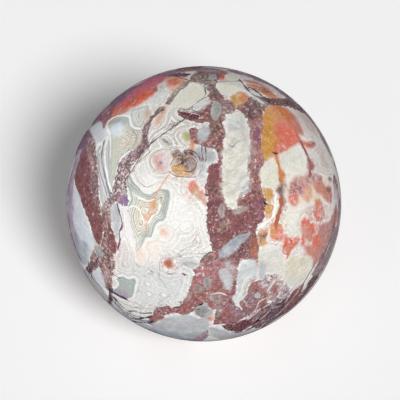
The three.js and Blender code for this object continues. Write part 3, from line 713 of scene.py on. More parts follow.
backBreccia = {
    "over the top": ("brick", 0.85, 0.6, [
        (190, 47, 2.4), (186, 38, 3.2), (181, 27, 2.0), (177, 18, 4.4), (172, 8, 3.0), (170, -2, 4.8),
        (168, -12, 3.2), (173, -24, 6.2), (181, -36, 3.6), (184, -46, 5.0), (192, -58, 2.4)]),
    "right branch": ("rose", 0.9, 0.6, [
        (126, 23, 1.0), (130, 14, 2.6), (131, 5, 1.5), (127, -7, 4.4), (120, -18, 2.4), (112, -28, 4.6),
        (98, -36, 2.2), (84, -44, 1.4)]),
    "left branch": ("maroon", 0.6, 0.6, [
        (237, 27, 2.2), (231, 17, 4.0), (229, 8, 2.0), (233, -4, 3.0), (229, -15, 5.0), (221, -27, 2.6),
        (212, -37, 4.6), (198, -48, 2.0)]),
    "low right branch": ("brick", 0.8, 0.6, [
        (30, -25, 1.4), (36, -33, 3.4), (50, -42, 2.4), (66, -48, 5.0), (88, -52, 3.0), (108, -52, 5.0),
        (130, -52, 2.2)]),
    "low left branch": ("umber", 1.0, 0.6, [
        (302, -15, 1.0), (293, -24, 3.2), (281, -33, 1.8), (268, -41, 4.4), (252, -47, 2.2),
        (238, -50, 3.6)]),
    "upper bridge": ("rose", 1.0, 0.5, [
        (172, 5, 2.4), (182, 1, 0.7), (191, 2, 1.9), (201, 6, 0.7), (212, 4, 1.6), (221, 0, 0.7),
        (230, 5, 2.4)]),
    "right bridge": ("brick", 1.0, 0.5, [
        (170, -12, 2.6), (160, -15, 0.8), (151, -16, 2.4), (143, -12, 0.7), (135, -9, 1.2),
        (128, -6, 2.6)]),
    "low bridge": ("umber", 1.0, 0.5, [
        (172, -26, 2.4), (184, -31, 0.9), (196, -31, 2.8), (206, -27, 1.0), (218, -26, 2.4)]),
    "front foot": ("rose", 0.9, 0.6, [(1, -33, 1.4), (356, -40, 3.4), (350, -48, 1.8), (340, -58, 3.2)]),
    "right spur": ("heather", 1.1, 0.5, [
        (88, 24, 0.7), (92, 14, 2.0), (97, 6, 0.8), (104, -6, 1.8), (112, -14, 0.7)]),
    "left spur": ("brick", 1.0, 0.5, [
        (232, -6, 1.6), (241, -10, 0.6), (250, -20, 1.8), (256, -30, 0.8), (262, -38, 2.2)]),
    "high spur": ("heather", 1.0, 0.5, [(196, 30, 0.8), (204, 26, 1.8), (214, 27, 0.8), (224, 24, 1.6)]),
    "knot": ("wine", 0.8, 0.6, (150, -17, 5, 3.4, 30)),
    "left knot": ("plum", 0.8, 0.8, (231, 12, 4.4, 2.6, 60)),
    "wine heart": ("wine", 0.8, 1.0, (172, -24, 8, 5, 20)),
    "umber heart": ("umber", 1.0, 1.0, (174, 12, 7, 4, 70)),
}
backShards = {
    "top chip": ("bone", 0.3, 0.4, (179, 16, 6, 3.4, 70)),
    "tall calcite": ("calcite", 0.7, 0.4, (171, -5, 12, 4.2, 84)),
    "grey chip": ("mist", 0.5, 0.4, (176, -28, 6, 3, 20)),
    "blue lens": ("blueGrey", 0.35, 0.4, (168, -19, 6.5, 2.6, -35)),
    "low chip": ("pearl", 0.5, 0.4, (183, -42, 5, 3, 60)),
    "right chip": ("mist", 0.5, 0.4, (128, -4, 5, 2.6, 70)),
    "right low chip": ("pearl", 0.4, 0.4, (116, -24, 6, 3.2, 40)),
    "left chip": ("teal", 0.3, 0.4, (230, 3, 4.5, 2.4, 60)),
    "left low chip": ("bone", 0.3, 0.4, (225, -20, 5.5, 3, 30)),
    "butter block": ("butter", 0.15, 0.6, (140, 2, 8, 6, 30)),
    "side block": ("calcite", 0.4, 0.5, (92, 14, 9, 5, 70)),
    "left slab": ("paleBlue", 0.35, 0.5, (276, 4, 12, 5, 80)),
    "foot slab": ("mist", 0.4, 0.5, (10, -36, 10, 5, 10)),
    "foot chip": ("smoke", 0.4, 0.4, (346, -50, 4, 2.4, 50)),
    "low left chip": ("paleBlue", 0.4, 0.4, (279, -34, 5, 2.8, 30)),
    "low right chip": ("bone", 0.3, 0.4, (70, -47, 5, 3, 10)),
    "crushed one": ("pearl", 0.6, 0.3, (176, 22, 2.4, 1.6, 20)),
    "crushed two": ("bone", 0.5, 0.3, (169, 9, 2.8, 1.5, 60)),
    "crushed three": ("mist", 0.6, 0.3, (166, -13, 2.2, 1.8, 0)),
    "crushed four": ("pearl", 0.6, 0.3, (177, -35, 3.0, 1.6, 40)),
    "crushed five": ("ash", 0.5, 0.3, (227, -12, 3.0, 2.0, 80)),
    "crushed six": ("pearl", 0.6, 0.3, (219, -32, 2.6, 1.5, 30)),
    "crushed seven": ("bone", 0.5, 0.3, (130, 15, 2.6, 1.2, 80)),
    "crushed eight": ("mist", 0.5, 0.3, (112, -31, 2.6, 1.6, 20)),
    "crushed nine": ("pearl", 0.5, 0.3, (232, 19, 2.4, 1.3, 70)),
}
backStains = {
    "fire": ("coral", 0.5, 1.0, (143, -18, 9, 5, 40)),
    "fire gold": ("gold", 0.5, 1.0, (148, -22, 6, 3.4, 60)),
    "ochre eye": ("ochre", 0.7, 0.5, (162, 8, 4, 3, 30)),
    "salmon eye": ("salmon", 0.6, 0.5, (194, -4, 5, 3.6, 10)),
    "rust spot": ("rust", 0.7, 0.5, (214, 8, 2.4, 2, 0)),
    "high coral": ("coral", 0.7, 0.6, (218, 22, 8, 3, 40)),
    "high magenta": ("magenta", 0.6, 0.8, (224, 26, 7, 2.2, 40)),
    "side coral": ("coral", 0.55, 0.8, (110, 10, 6, 3.6, 60)),
    "side salmon": ("salmon", 0.4, 1.0, (98, 2, 8, 5, 70)),
    "side rose": ("rose", 0.5, 0.9, (88, -10, 9, 4, 80)),
    "low coral": ("coral", 0.7, 0.6, (112, -38, 6, 3, 20)),
    "low orange": ("orange", 0.6, 0.7, (100, -44, 4, 2.4, 40)),
    "left coral": ("flame", 0.7, 0.6, (242, -2, 4, 2.4, 70)),
    "left peach": ("peach", 0.3, 0.9, (250, 12, 8, 4, 40)),
    "left ochre": ("ochre", 0.6, 0.6, (238, -38, 5, 3, 30)),
    "foot salmon": ("salmon", 0.6, 0.7, (20, -44, 6, 3.4, 30)),
    "foot gold": ("gold", 0.7, 0.5, (28, -48, 3, 2, 0)),
    "under coral": ("coral", 0.6, 0.7, (205, -44, 6, 3, 60)),
    "high blush": ("peach", 0.3, 1.0, (198, 24, 6, 4, 20)),
    "bud": ("rust", 0.8, 0.4, (158, 1, 2.6, 1.6, 40)),
    "bud gold": ("gold", 0.7, 0.4, (160, -1, 2.0, 1.6, 0)),
    "fleck": ("coral", 0.7, 0.4, (184, -9, 2.2, 1.4, 30)),
    "fleck two": ("rust", 0.7, 0.4, (198, -22, 2.6, 1.2, 70)),
    "fleck three": ("rose", 0.6, 0.5, (216, -14, 3.0, 1.8, 20)),
    "fleck four": ("orange", 0.6, 0.5, (256, 0, 3.4, 1.6, 60)),
    "fleck five": ("coral", 0.6, 0.5, (136, -28, 3.4, 2.0, 10)),
    "fleck six": ("salmon", 0.5, 0.7, (84, -24, 5.0, 3.0, 30)),
    "left blush": ("dustyRose", 0.4, 1.0, (266, -30, 7, 3.4, 60)),
}
backHairlines = {
    "long crack": ("ringBrown", 0.14, [212, 26, 206, 12, 200, -2, 196, -16, 192, -28]),
    "right crack": ("umber", 0.12, [160, 24, 152, 8, 146, -4, 140, -20]),
    "left crack": ("slate", 0.2, [262, 10, 258, -4, 260, -18, 254, -32]),
    "left crack two": ("plum", 0.18, [268, 6, 266, -8, 268, -22]),
    "side crack": ("ringBrown", 0.12, [112, 18, 106, 6, 98, -4, 94, -18]),
    "low crack": ("ink", 0.2, [318, -28, 304, -34, 292, -44]),
    "low crack two": ("ink", 0.16, [322, -34, 310, -40, 300, -50]),
}
backThreads = {
    "high rim": ("snow", 0.22, [222, 14, 214, 10, 206, 9, 198, 12]),
    "left stripe": ("snow", 0.3, [264, 8, 261, -6, 263, -20, 257, -34]),
    "right rim": ("snow", 0.22, [158, 20, 150, 9, 142, 10]),
    "low seam": ("petal", 0.4, [160, -28, 150, -30, 140, -34, 134, -42]),
}
backEmbers = {
    "vein": ("coral", 0.34, [150, -6, 147, -14, 149, -24, 146, -34]),
    "vein two": ("rose", 0.36, [118, 12, 114, 0, 110, -10, 112, -22]),
    "fork": ("peach", 0.2, [206, 22, 210, 16, 204, 12]),
    "left vein": ("peach", 0.22, [250, -4, 254, -12, 251, -20]),
}


tiny = 1e-12    # keeps divisions away from nought


def pixelDirection(x, y):
    # where a pixel of the picture lies on the stone, as a direction from its middle
    across = (x - picture["centreX"]) / picture["stoneRadius"]
    upward = (picture["centreY"] - y) / picture["stoneRadius"]
    reach = math.hypot(across, upward)
    if reach < 1:
        sight = math.atan(reach * math.tan(rimSight))
        turn = math.asin(math.sin(sight) / math.sin(rimSight)) - sight
    else:
        turn = math.pi / 2 - rimSight + (reach - 1) * picture["turnPastRim"]
    sideways = (pictureRight * across + pictureUp * upward) / max(reach, tiny)
    return toCamera * math.cos(turn) + sideways * math.sin(turn)


def roundDirection(azimuth, elevation):
    around = math.radians(azimuth)
    lift = math.radians(elevation)
    return np.array((math.sin(around) * math.cos(lift), -math.cos(around) * math.cos(lift), math.sin(lift)))


def smoothCurve(points, closed, steps=4):
    # a rounded curve (Catmull-Rom) through points given as tuples, or as x and y one after another
    if not isinstance(points[0], tuple):
        points = np.reshape(points, (-1, 2))
    knots = np.array(points, float)
    if closed:
        knots = np.concatenate((knots[-1:], knots, knots[:2]))
    else:
        knots = np.concatenate((2 * knots[:1] - knots[1:2], knots, 2 * knots[-1:] - knots[-2:-1]))
    curve = []
    for before, start, end, after in zip(knots, knots[1:], knots[2:], knots[3:]):
        for step in range(steps):
            t = step / steps
            curve.append(0.5 * (2 * start + (end - before) * t
                                + (2 * before - 5 * start + 4 * end - after) * t ** 2
                                + (3 * start - before - 3 * end + after) * t ** 3))
    if not closed:
        curve.append(knots[-2])
    return np.array(curve)


def ringPath(x, y, reach, count=12):
    path = []
    for step in range(count):
        turn = 2 * math.pi * step / count
        path.append(pixelDirection(x + reach * math.cos(turn), y + reach * math.sin(turn)))
    return np.array(path)


def patchPath(azimuth, elevation, length, width, turn, count=36):
    # an oval on the stone with a wavy edge: waves round it, their height and where they start
    edgeWaves = ((2, 0.16, azimuth), (3, 0.13, elevation), (5, 0.08, azimuth + turn))
    normal = roundDirection(azimuth, elevation)
    level = np.cross((0, 0, 1), normal)
    level /= np.linalg.norm(level)
    upright = np.cross(normal, level)
    slant = math.radians(turn)
    longWay = level * math.cos(slant) + upright * math.sin(slant)
    shortWay = upright * math.cos(slant) - level * math.sin(slant)
    path = []
    for step in range(count):
        t = 2 * math.pi * step / count
        uneven = 1 + sum(height * math.sin(waves * t + start) for waves, height, start in edgeWaves)
        along = length / 2 * math.cos(t) * uneven / radiusMm
        across = width / 2 * math.sin(t) * uneven / radiusMm
        spot = normal + longWay * math.tan(along) + shortWay * math.tan(across)
        path.append(spot / np.linalg.norm(spot))
    return np.array(path)


def ribbonPath(points, place):
    # a band along a line on the stone
    drawn = smoothCurve(points, False)
    middles = np.array([place(first, second) for first, second, width in drawn])
    runs = np.gradient(middles, axis=0)
    sideways = np.cross(middles, runs)
    sideways *= (drawn[:, 2] / radiusMm / np.linalg.norm(sideways, axis=1))[:, None]
    path = np.concatenate((middles + sideways, (middles - sideways)[::-1]))
    return path / np.linalg.norm(path, axis=1)[:, None]


def outlinePath(outline, place):
    if isinstance(outline, tuple):
        return ringPath(*outline) if len(outline) == 3 else patchPath(*outline)
    if isinstance(outline[0], tuple):
        return ribbonPath(outline, place)
    return np.array([place(*point) for point in smoothCurve(outline, True)])


farMm = 7.0     # distances further from an edge than this are left at this
chart = {
    "poleShare": 0.08,     # near the far side a chart's scale is held here
    "margin": 2.2 * farMm,    # how far round an outline distances are measured
    "farCosine": -0.8,     # and how far round the stone
}


def flatten(directions, out):
    # a flat chart of one side (stereographic), in millimetres as they are at its middle
    right = np.array((1.0, 0.0, 0.0))
    spread = 2 * radiusMm / np.maximum(1 + directions @ out, chart["poleShare"])
    return np.stack((directions @ right, directions @ np.cross(out, right)), 1) * spread[:, None]


def measure(path, closed, vertices):
    # for each vertex, its distance in mm from a curve, and whether it is inside it or to its left
    side = 1 if path.mean(0) @ toCamera > 0 else -1
    facing = vertices["directions"] @ toCamera * side
    places = vertices[side]
    path = flatten(path, toCamera * side)
    gaps = np.full(len(places), farMm)
    lefts = np.full(len(places), -1.0)
    margin = chart["margin"]
    near = np.all((places > path.min(0) - margin) & (places < path.max(0) + margin), axis=1)
    near &= facing > chart["farCosine"]
    spots = places[near]
    best = np.full(len(spots), np.inf)
    left = np.full(len(spots), -1.0)
    inside = np.zeros(len(spots), bool)
    ends = np.roll(path, -1, 0) if closed else path[1:]
    for start, end in zip(path, ends):
        run = end - start
        offset = spots - start
        along = np.clip(offset @ run / max(run @ run, tiny), 0, 1)
        gap = np.hypot(*(offset - along[:, None] * run).T)
        nearer = gap < best
        best[nearer] = gap[nearer]
        left[nearer] = np.sign(run[0] * offset[nearer, 1] - run[1] * offset[nearer, 0])
        if closed:
            crosses = (start[1] > spots[:, 1]) != (end[1] > spots[:, 1])
            reach = start[0] + run[0] * offset[:, 1] / (run[1] if abs(run[1]) > tiny else tiny)
            inside ^= crosses & (spots[:, 0] < reach)
    shrink = (1 + facing[near]) / 2
    gaps[near] = np.minimum(best * shrink, farMm)
    lefts[near] = np.where(inside, 1.0, -1.0) if closed else left
    return gaps, lefts


def softStep(value):
    value = np.clip(value, 0, 1)
    return value * value * (3 - 2 * value)


def storeFloat(mesh, name, values):
    layer = mesh.attributes.new(name, "FLOAT", "POINT")
    layer.data.foreach_set("value", np.asarray(values, np.float32))


def storeColour(mesh, name, values):
    layer = mesh.attributes.new(name, "FLOAT_COLOR", "POINT")
    layer.data.foreach_set("color", np.asarray(values, np.float32).ravel())


def storeOutlines(mesh, name, frontShapes, backShapes, vertices):
    # one layer of the markings: distance inside its nearest outline, tint, and grain in the tint's alpha
    depths = []
    tints = []
    blends = []
    for place, shapes in ((pixelDirection, frontShapes), (roundDirection, backShapes)):
        for tint, grain, blend, outline in shapes.values():
            gap, inside = measure(outlinePath(outline, place), True, vertices)
            depths.append(gap * inside)
            tints.append((*paint(tint), grain))
            blends.append(blend)
    depths = np.array(depths)
    tints = np.array(tints)
    colour = tints[depths.argmax(0)]
    for depth, tint, blend in zip(depths, tints, blends):
        share = softStep((depth / blend + vertices["roughness"]) / 2 + 0.5)
        colour += (tint - colour) * share[:, None]
    storeFloat(mesh, name, depths.max(0))
    storeColour(mesh, name + "Tint", colour)
    return depths.max(0)


def storeThreads(mesh, name, frontLines, backLines, vertices):
    # lines narrower than the mesh: the signed distance crosses zero on the line, so it stays sharp
    gap = np.full(len(vertices["directions"]), farMm)
    across = np.full(len(gap), farMm)
    colour = np.zeros((len(gap), 4))
    for place, lines in ((pixelDirection, frontLines), (roundDirection, backLines)):
        for tint, halfWidth, points in lines.values():
            path = np.array([place(*point) for point in smoothCurve(points, False)])
            lineGap, left = measure(path, False, vertices)
            nearer = lineGap - halfWidth < gap
            gap[nearer] = lineGap[nearer] - halfWidth
            across[nearer] = (lineGap * left)[nearer]
            colour[nearer] = (*paint(tint), halfWidth)
    storeFloat(mesh, name + "Gap", gap)
    storeFloat(mesh, name + "Across", across)
    storeColour(mesh, name + "Tint", colour)


def arcMm(directions, spot):
    return np.arccos(np.clip(directions @ spot, -1, 1)) * radiusMm


# a wash is full at half its reach and has faded out at this many times its reach
washForm = {"plainTint": "lace", "plainRings": 0.5, "edge": 1.5}


def storeWashes(mesh, vertices):
    directions = vertices["directions"]
    colour = np.tile((*paint(washForm["plainTint"]), washForm["plainRings"]), (len(directions), 1))
    strokes = np.zeros(len(directions))
    for place, washes, size in ((pixelDirection, laceWashes, mmPerPixel), (roundDirection, backWashes, 1.0)):
        for first, second, reach, tint, rings, pen in washes.values():
            share = softStep(washForm["edge"] - arcMm(directions, place(first, second)) / (reach * size))
            colour += (np.array((*paint(tint), rings)) - colour) * share[:, None]
            strokes += (pen - strokes) * share
    storeColour(mesh, "laceTint", colour)
    storeFloat(mesh, "laceStrokes", strokes)


# the stone's own mesh: a cube cut into fine squares and rounded
stoneForm = {
    "cuts": (13, 8),           # along each edge of the cube, then along each of the pieces
    "edgeAzimuth": 45.0,       # degrees that turn an edge of the cube to the front
    "cornerElevation": 35.26,  # of a cube's corner, where the mesh is finest and so faces the camera
    "touch": radius * 1e-5,    # vertices lower than this become the flat
    "smoothAngle": 25.0,       # degrees: sharper edges, round the pits and the flat, stay crisp
}

# open pits: azimuth from the front towards +X, elevation, length, width, depth in mm, turn of the long side
pits = {
    "front": (22.0, -9.0, 3.0, 1.7, 1.0, 38.0),
    "slot": (22.5, -2.0, 1.9, 0.9, 0.7, 62.0),
    "front right": (34.0, 0.0, 2.2, 1.3, 0.6, 50.0),
    "rim fissure": (130.0, 30.0, 4.4, 1.1, 0.8, -58.0),
    "back": (205.0, 24.0, 2.6, 1.4, 0.9, 20.0),
    "back left": (248.0, -14.0, 3.2, 1.2, 0.8, 74.0),
}
pitForm = {"rise": 0.45, "raggedness": 0.16, "cuts": 3}


def roundStone():
    turn = Matrix.Rotation(math.radians(stoneForm["cornerElevation"] - picture["elevation"]), 3, "X")
    turn = turn @ Matrix.Rotation(math.radians(stoneForm["edgeAzimuth"]), 3, "Z")
    bpy.ops.object.select_all(action="DESELECT")
    bpy.ops.mesh.primitive_cube_add(
        size=2 * radius / math.sqrt(3), location=middle, rotation=turn.to_euler())
    stone = bpy.context.object
    stone.name = "polished_agate_sphere"
    bpy.ops.object.mode_set(mode="EDIT")
    bpy.ops.mesh.select_all(action="SELECT")
    for cuts in stoneForm["cuts"]:
        bpy.ops.mesh.subdivide(number_cuts=cuts)
    bpy.ops.object.mode_set(mode="OBJECT")
    rounding = stone.modifiers.new("rounding", "CAST")
    rounding.cast_type = "SPHERE"
    rounding.factor = 1.0
    rounding.use_radius_as_size = False
    rounding.size = radius
    bpy.ops.object.modifier_apply(modifier=rounding.name)
    bpy.ops.object.transform_apply(location=True, rotation=True, scale=True)
    return stone


def grindFlat(stone):
    bpy.ops.object.mode_set(mode="EDIT")
    bpy.ops.mesh.select_all(action="SELECT")
    bpy.ops.mesh.bisect(plane_co=(0, 0, 0), plane_no=(0, 0, 1))
    bpy.ops.mesh.select_all(action="DESELECT")
    bpy.ops.object.mode_set(mode="OBJECT")
    for vertex in stone.data.vertices:
        vertex.select = vertex.co.z < stoneForm["touch"]
    bpy.ops.object.mode_set(mode="EDIT")
    bpy.ops.transform.resize(value=(1, 1, 0), center_override=(0, 0, 0))
    bpy.ops.object.mode_set(mode="OBJECT")


def cutPits(stone):
    for seed, (name, pit) in enumerate(pits.items()):
        azimuth, elevation, length, width, depth, turn = pit
        normal = Vector(roundDirection(azimuth, elevation))
        level = Vector((0, 0, 1)).cross(normal).normalized()
        longWay = Matrix.Rotation(math.radians(turn), 3, normal) @ level
        axes = Matrix((longWay, normal.cross(longWay), normal)).transposed()
        rise = depth * pitForm["rise"]
        sizes = Vector((length / 2, width / 2, depth + rise)) * metresPerMm
        bpy.ops.object.select_all(action="DESELECT")
        bpy.ops.mesh.primitive_ico_sphere_add(subdivisions=2, radius=1)
        cutter = bpy.context.object
        bpy.ops.object.mode_set(mode="EDIT")
        bpy.ops.mesh.select_all(action="SELECT")
        bpy.ops.transform.vertex_random(offset=pitForm["raggedness"], seed=seed)
        bpy.ops.mesh.subdivide(number_cuts=pitForm["cuts"], smoothness=1.0)
        bpy.ops.transform.resize(value=sizes, center_override=(0, 0, 0))
        bpy.ops.object.mode_set(mode="OBJECT")
        cutter.rotation_euler = axes.to_euler()
        cutter.location = middle + normal * (radius + rise * metresPerMm)
        bpy.ops.object.transform_apply(location=True, rotation=True, scale=True)
        cut = stone.modifiers.new("pit " + name, "BOOLEAN")
        cut.operation = "DIFFERENCE"
        cut.solver = "MANIFOLD"
        cut.object = cutter
        bpy.context.view_layer.objects.active = stone
        bpy.ops.object.modifier_apply(modifier=cut.name)
        bpy.data.objects.remove(cutter)


markingForm = {
    "tintGrain": (0.8, 2.0, 4),      # of the noise that tints blend by: dimension, lacunarity, octaves
    "tintGrainPerMm": 0.5,
    "wallInset": 0.5,                # mm that the lace's rings start inside breccia and shards
    "flatHeight": radius * 1e-4,     # vertices lower than this are the flat, not pits
    "pitMargin": 0.01,               # mm below the sphere where a pit starts
    "deepestPit": 2.0,
}


def markStone(stone):
    mesh = stone.data
    places = np.empty(len(mesh.vertices) * 3)
    mesh.vertices.foreach_get("co", places)
    places = places.reshape(-1, 3)
    offsets = places - np.array(middle)
    reach = np.linalg.norm(offsets, axis=1)
    perMetre = markingForm["tintGrainPerMm"] / metresPerMm
    vertices = {"directions": offsets / reach[:, None]}
    vertices["roughness"] = np.array([
        fractal(Vector(offset) * perMetre, *markingForm["tintGrain"]) for offset in offsets])
    for side in (1, -1):
        vertices[side] = flatten(vertices["directions"], toCamera * side)
    storeWashes(mesh, vertices)
    inset = markingForm["wallInset"]
    walls = [
        storeOutlines(mesh, "chalcedony", chalcedony, backChalcedony, vertices),
        storeOutlines(mesh, "stains", stains, backStains, vertices),
        storeOutlines(mesh, "breccia", breccia, backBreccia, vertices) - inset,
        storeOutlines(mesh, "shards", shards, backShards, vertices) - inset,
    ]
    for place, eyes in ((pixelDirection, laceEyes), (roundDirection, backEyes)):
        for spot in eyes.values():
            walls.append(-arcMm(vertices["directions"], place(*spot)))
    storeFloat(mesh, "laceGap", np.clip(-np.max(walls, axis=0), 0, farMm))
    storeThreads(mesh, "hairlines", hairlines, backHairlines, vertices)
    storeThreads(mesh, "threads", threads, backThreads, vertices)
    storeThreads(mesh, "embers", emberThreads, backEmbers, vertices)
    depth = (radius - reach) / metresPerMm - markingForm["pitMargin"]
    onFlat = places[:, 2] < markingForm["flatHeight"]
    storeFloat(mesh, "pitDepth", np.where(onFlat, 0, np.clip(depth, 0, markingForm["deepestPit"])))


# small helpers for shader trees: a value fed to a socket is either another socket or a plain value
def feed(tree, socket, value):
    if isinstance(value, bpy.types.NodeSocket):
        tree.links.new(value, socket)
    else:
        socket.default_value = value


def addNode(tree, kind, inputs=None, **settings):
    node = tree.nodes.new(kind)
    for name, value in settings.items():
        setattr(node, name, value)
    for key, value in (inputs or {}).items():
        feed(tree, node.inputs[key], value)
    return node


def calc(tree, operation, *values):
    return addNode(tree, "ShaderNodeMath", dict(enumerate(values)), operation=operation).outputs[0]


def times(tree, first, second):
    return calc(tree, "MULTIPLY", first, second)


def addTimes(tree, value, share, rest):
    # value x share + rest
    return calc(tree, "MULTIPLY_ADD", value, share, rest)


def mixColour(tree, factor, under, over, mode="MIX"):
    inputs = {0: factor, 6: under, 7: over}
    return addNode(tree, "ShaderNodeMix", inputs, data_type="RGBA", blend_type=mode).outputs[2]


def ramp(tree, value, low, high, fromShare=0.0, toShare=1.0):
    inputs = {0: value, 1: low, 2: high, 3: fromShare, 4: toShare}
    return addNode(tree, "ShaderNodeMapRange", inputs, interpolation_type="SMOOTHSTEP").outputs[0]


def stretch(tree, vector, scale, turn=(0.0, 0.0, 0.0)):
    inputs = {"Vector": vector, "Rotation": turn, "Scale": scale}
    return addNode(tree, "ShaderNodeMapping", inputs).outputs[0]


def noise(tree, vector, scale, detail=2.0, roughness=0.5, distortion=0.0):
    inputs = {"Vector": vector, "Scale": scale, "Detail": detail, "Roughness": roughness,
              "Distortion": distortion}
    return addNode(tree, "ShaderNodeTexNoise", inputs).outputs[0]


def patches(tree, vector, look, name):
    # a noise's patches, by the grain and the range of that name
    return ramp(tree, noise(tree, vector, *look[name + "Grain"]), *look[name])


def drift(tree, vector, *grain):
    # noise either side of nought
    return calc(tree, "SUBTRACT", noise(tree, vector, *grain), 0.5)


def crease(tree, vector, *grain, middle=0.5):
    # nought along winding lines, where the noise passes its middle
    return calc(tree, "ABSOLUTE", calc(tree, "SUBTRACT", noise(tree, vector, *grain), middle))


def lighten(tree, tint, tone):
    # a colour times one number
    grey = addNode(tree, "ShaderNodeCombineColor", {0: tone, 1: tone, 2: tone}).outputs[0]
    return mixColour(tree, 1.0, tint, grey, "MULTIPLY")


def attribute(tree, name):
    return addNode(tree, "ShaderNodeAttribute", attribute_name=name, attribute_type="GEOMETRY").outputs


def colourOf(name):
    return (*paint(name), 1.0)


def bandStops(tree, value, stops):
    # a colour ramp from named places and palette colours
    bands = addNode(tree, "ShaderNodeValToRGB", {0: value})
    elements = bands.color_ramp.elements
    while len(elements) < len(stops):
        elements.new(0.5)
    for element, (place, tint) in zip(elements, stops):
        element.position = place
        element.color = colourOf(tint)
    return bands.outputs[0]


# the kinds of group sockets
number = "NodeSocketFloat"
arrow = "NodeSocketVector"
colour = "NodeSocketColor"


def newGroup(name, inputs, outputs):
    group = bpy.data.node_groups.new(name, "ShaderNodeTree")
    for direction, sockets in (("INPUT", inputs), ("OUTPUT", outputs)):
        for label, kind in sockets.items():
            group.interface.new_socket(label, in_out=direction, socket_type=kind)
    source = group.nodes.new("NodeGroupInput").outputs
    sink = group.nodes.new("NodeGroupOutput").inputs
    return group, source, sink


def useGroup(tree, group, inputs):
    return addNode(tree, "ShaderNodeGroup", inputs, node_tree=group).outputs


# In the looks below a grain is a noise's scale per mm, detail, roughness and distortion,
# and a range is where a share starts and ends, then its size at both places if they aren't 0 and 1.


def raggedEdgeGroup():
    # a distance pushed in and out by grain, so that drawn outlines break up as stone does
    look = {"Coarse": (0.5, 3.0, 0.6), "Fine": (1.5, 3.0, 0.6)}
    group, source, sink = newGroup(
        "ragged edge", {"Vector": arrow, "Distance": number, "Coarse": number, "Fine": number},
        {"Distance": number})
    pushed = source["Distance"]
    for reach, grain in look.items():
        pushed = addTimes(group, drift(group, source["Vector"], *grain), source[reach], pushed)
    feed(group, sink["Distance"], pushed)
    return group


def threadGroup():
    # a line along a drawn curve: how much of it shows at this place
    look = {
        "wanderGrain": (0.9, 3.0),
        "swellGrain": (0.6, 1.0),
        "swell": (0.3, 0.7, 0.55, 1.3),      # of its width
        "edge": (-0.07, 0.09),               # mm inside its edge
        "nearby": (0.3, 0.5, 1.0, 0.0),      # mm from the drawn curve
    }
    group, source, sink = newGroup(
        "thread", {"Vector": arrow, "Across": number, "Gap": number, "Half Width": number, "Wander": number},
        {"Mask": number})
    wandered = drift(group, source["Vector"], *look["wanderGrain"])
    across = addTimes(group, wandered, source["Wander"], source["Across"])
    swell = patches(group, source["Vector"], look, "swell")
    halfWidth = times(group, source["Half Width"], swell)
    inside = calc(group, "SUBTRACT", halfWidth, calc(group, "ABSOLUTE", across))
    line = ramp(group, inside, *look["edge"])
    feed(group, sink["Mask"], times(group, line, ramp(group, source["Gap"], *look["nearby"])))
    return group


def pastelGroup():
    # the faint pink and green clouding of pale agate
    look = {
        "cloudGrain": (0.85, 4.0, 0.65),
        "pink": (0.5, 0.66, 0.0, 0.3),
        "green": (0.34, 0.5, 0.3, 0.0),
        "toneGrain": (2.6, 2.0, 0.6),
        "tone": (0.3, 0.7, 0.9, 1.06),
    }
    group, source, sink = newGroup("pastel", {"Vector": arrow, "Color": colour}, {"Color": colour})
    cloud = noise(group, source["Vector"], *look["cloudGrain"])
    warm = mixColour(group, ramp(group, cloud, *look["pink"]), source["Color"], colourOf("petal"))
    cool = mixColour(group, ramp(group, cloud, *look["green"]), warm, colourOf("sage"))
    tone = patches(group, source["Vector"], look, "tone")
    feed(group, sink["Color"], lighten(group, cool, tone))
    return group


def laceGroup():
    # pale agate with fine rings that follow its walls and wander between them
    look = {
        "period": 1.05,                      # mm from ring to ring
        "slowGrain": (0.11, 0.5),
        "slowReach": 3.4,                    # mm that the rings wander
        "midGrain": (0.5, 1.6, 0.45),
        "midReach": 0.85,
        "rings": [
            (0.0, "snow"), (0.14, "snow"), (0.24, "ringBrown"), (0.34, "lace"), (0.44, "blush"),
            (0.56, "ringGrey"), (0.66, "pearl"), (0.8, "ringPale"), (0.9, "snow"), (1.0, "snow")],
        "ringShare": 0.92,
        "patchGrain": (0.2, 2.0),            # rings are clearer in some patches
        "patch": (0.36, 0.58, 0.7, 1.0),
        "zoneTurn": 2.1,                     # radians per mm, of broad white zones among the rings
        "zoneShare": 0.4,
        "rim": (0.45, 0.7, 0.7, 0.0),        # thick white rim along a wall
        "penGrain": (0.4, 6.0, 0.62, 0.9),   # dark squiggles like pen strokes
        "penMiddle": 0.52,
        "penWidth": (0.001, 0.009, 1.0, 0.0),
        "penPlaceGrain": (0.3, 1.0),
        "penPlace": (0.45, 0.56),
    }
    group, source, sink = newGroup(
        "lace", {"Vector": arrow, "Gap": number, "Tint": colour, "Lines": number, "Strokes": number},
        {"Color": colour})
    vector = source["Vector"]
    slow = times(group, noise(group, vector, *look["slowGrain"]), look["slowReach"])
    middling = addTimes(group, noise(group, vector, *look["midGrain"]), look["midReach"], slow)
    field = calc(group, "ADD", middling, source["Gap"])
    turn = calc(group, "FRACT", calc(group, "DIVIDE", field, look["period"]))
    rings = bandStops(group, turn, look["rings"])
    patch = patches(group, vector, look, "patch")
    zone = calc(group, "SINE", times(group, field, look["zoneTurn"]))
    zone = times(group, addTimes(group, zone, 0.5, 0.5), look["zoneShare"])
    base = mixColour(group, zone, source["Tint"], colourOf("snow"))
    faint = mixColour(group, look["ringShare"], colourOf("snow"), rings)
    ringed = mixColour(group, times(group, patch, source["Lines"]), base, faint)
    rimmed = mixColour(group, ramp(group, source["Gap"], *look["rim"]), ringed, colourOf("snow"))
    stroke = crease(group, vector, *look["penGrain"], middle=look["penMiddle"])
    stroke = ramp(group, stroke, *look["penWidth"])
    where = patches(group, vector, look, "penPlace")
    inked = times(group, times(group, stroke, where), source["Strokes"])
    feed(group, sink["Color"], mixColour(group, inked, rimmed, colourOf("umber")))
    return group


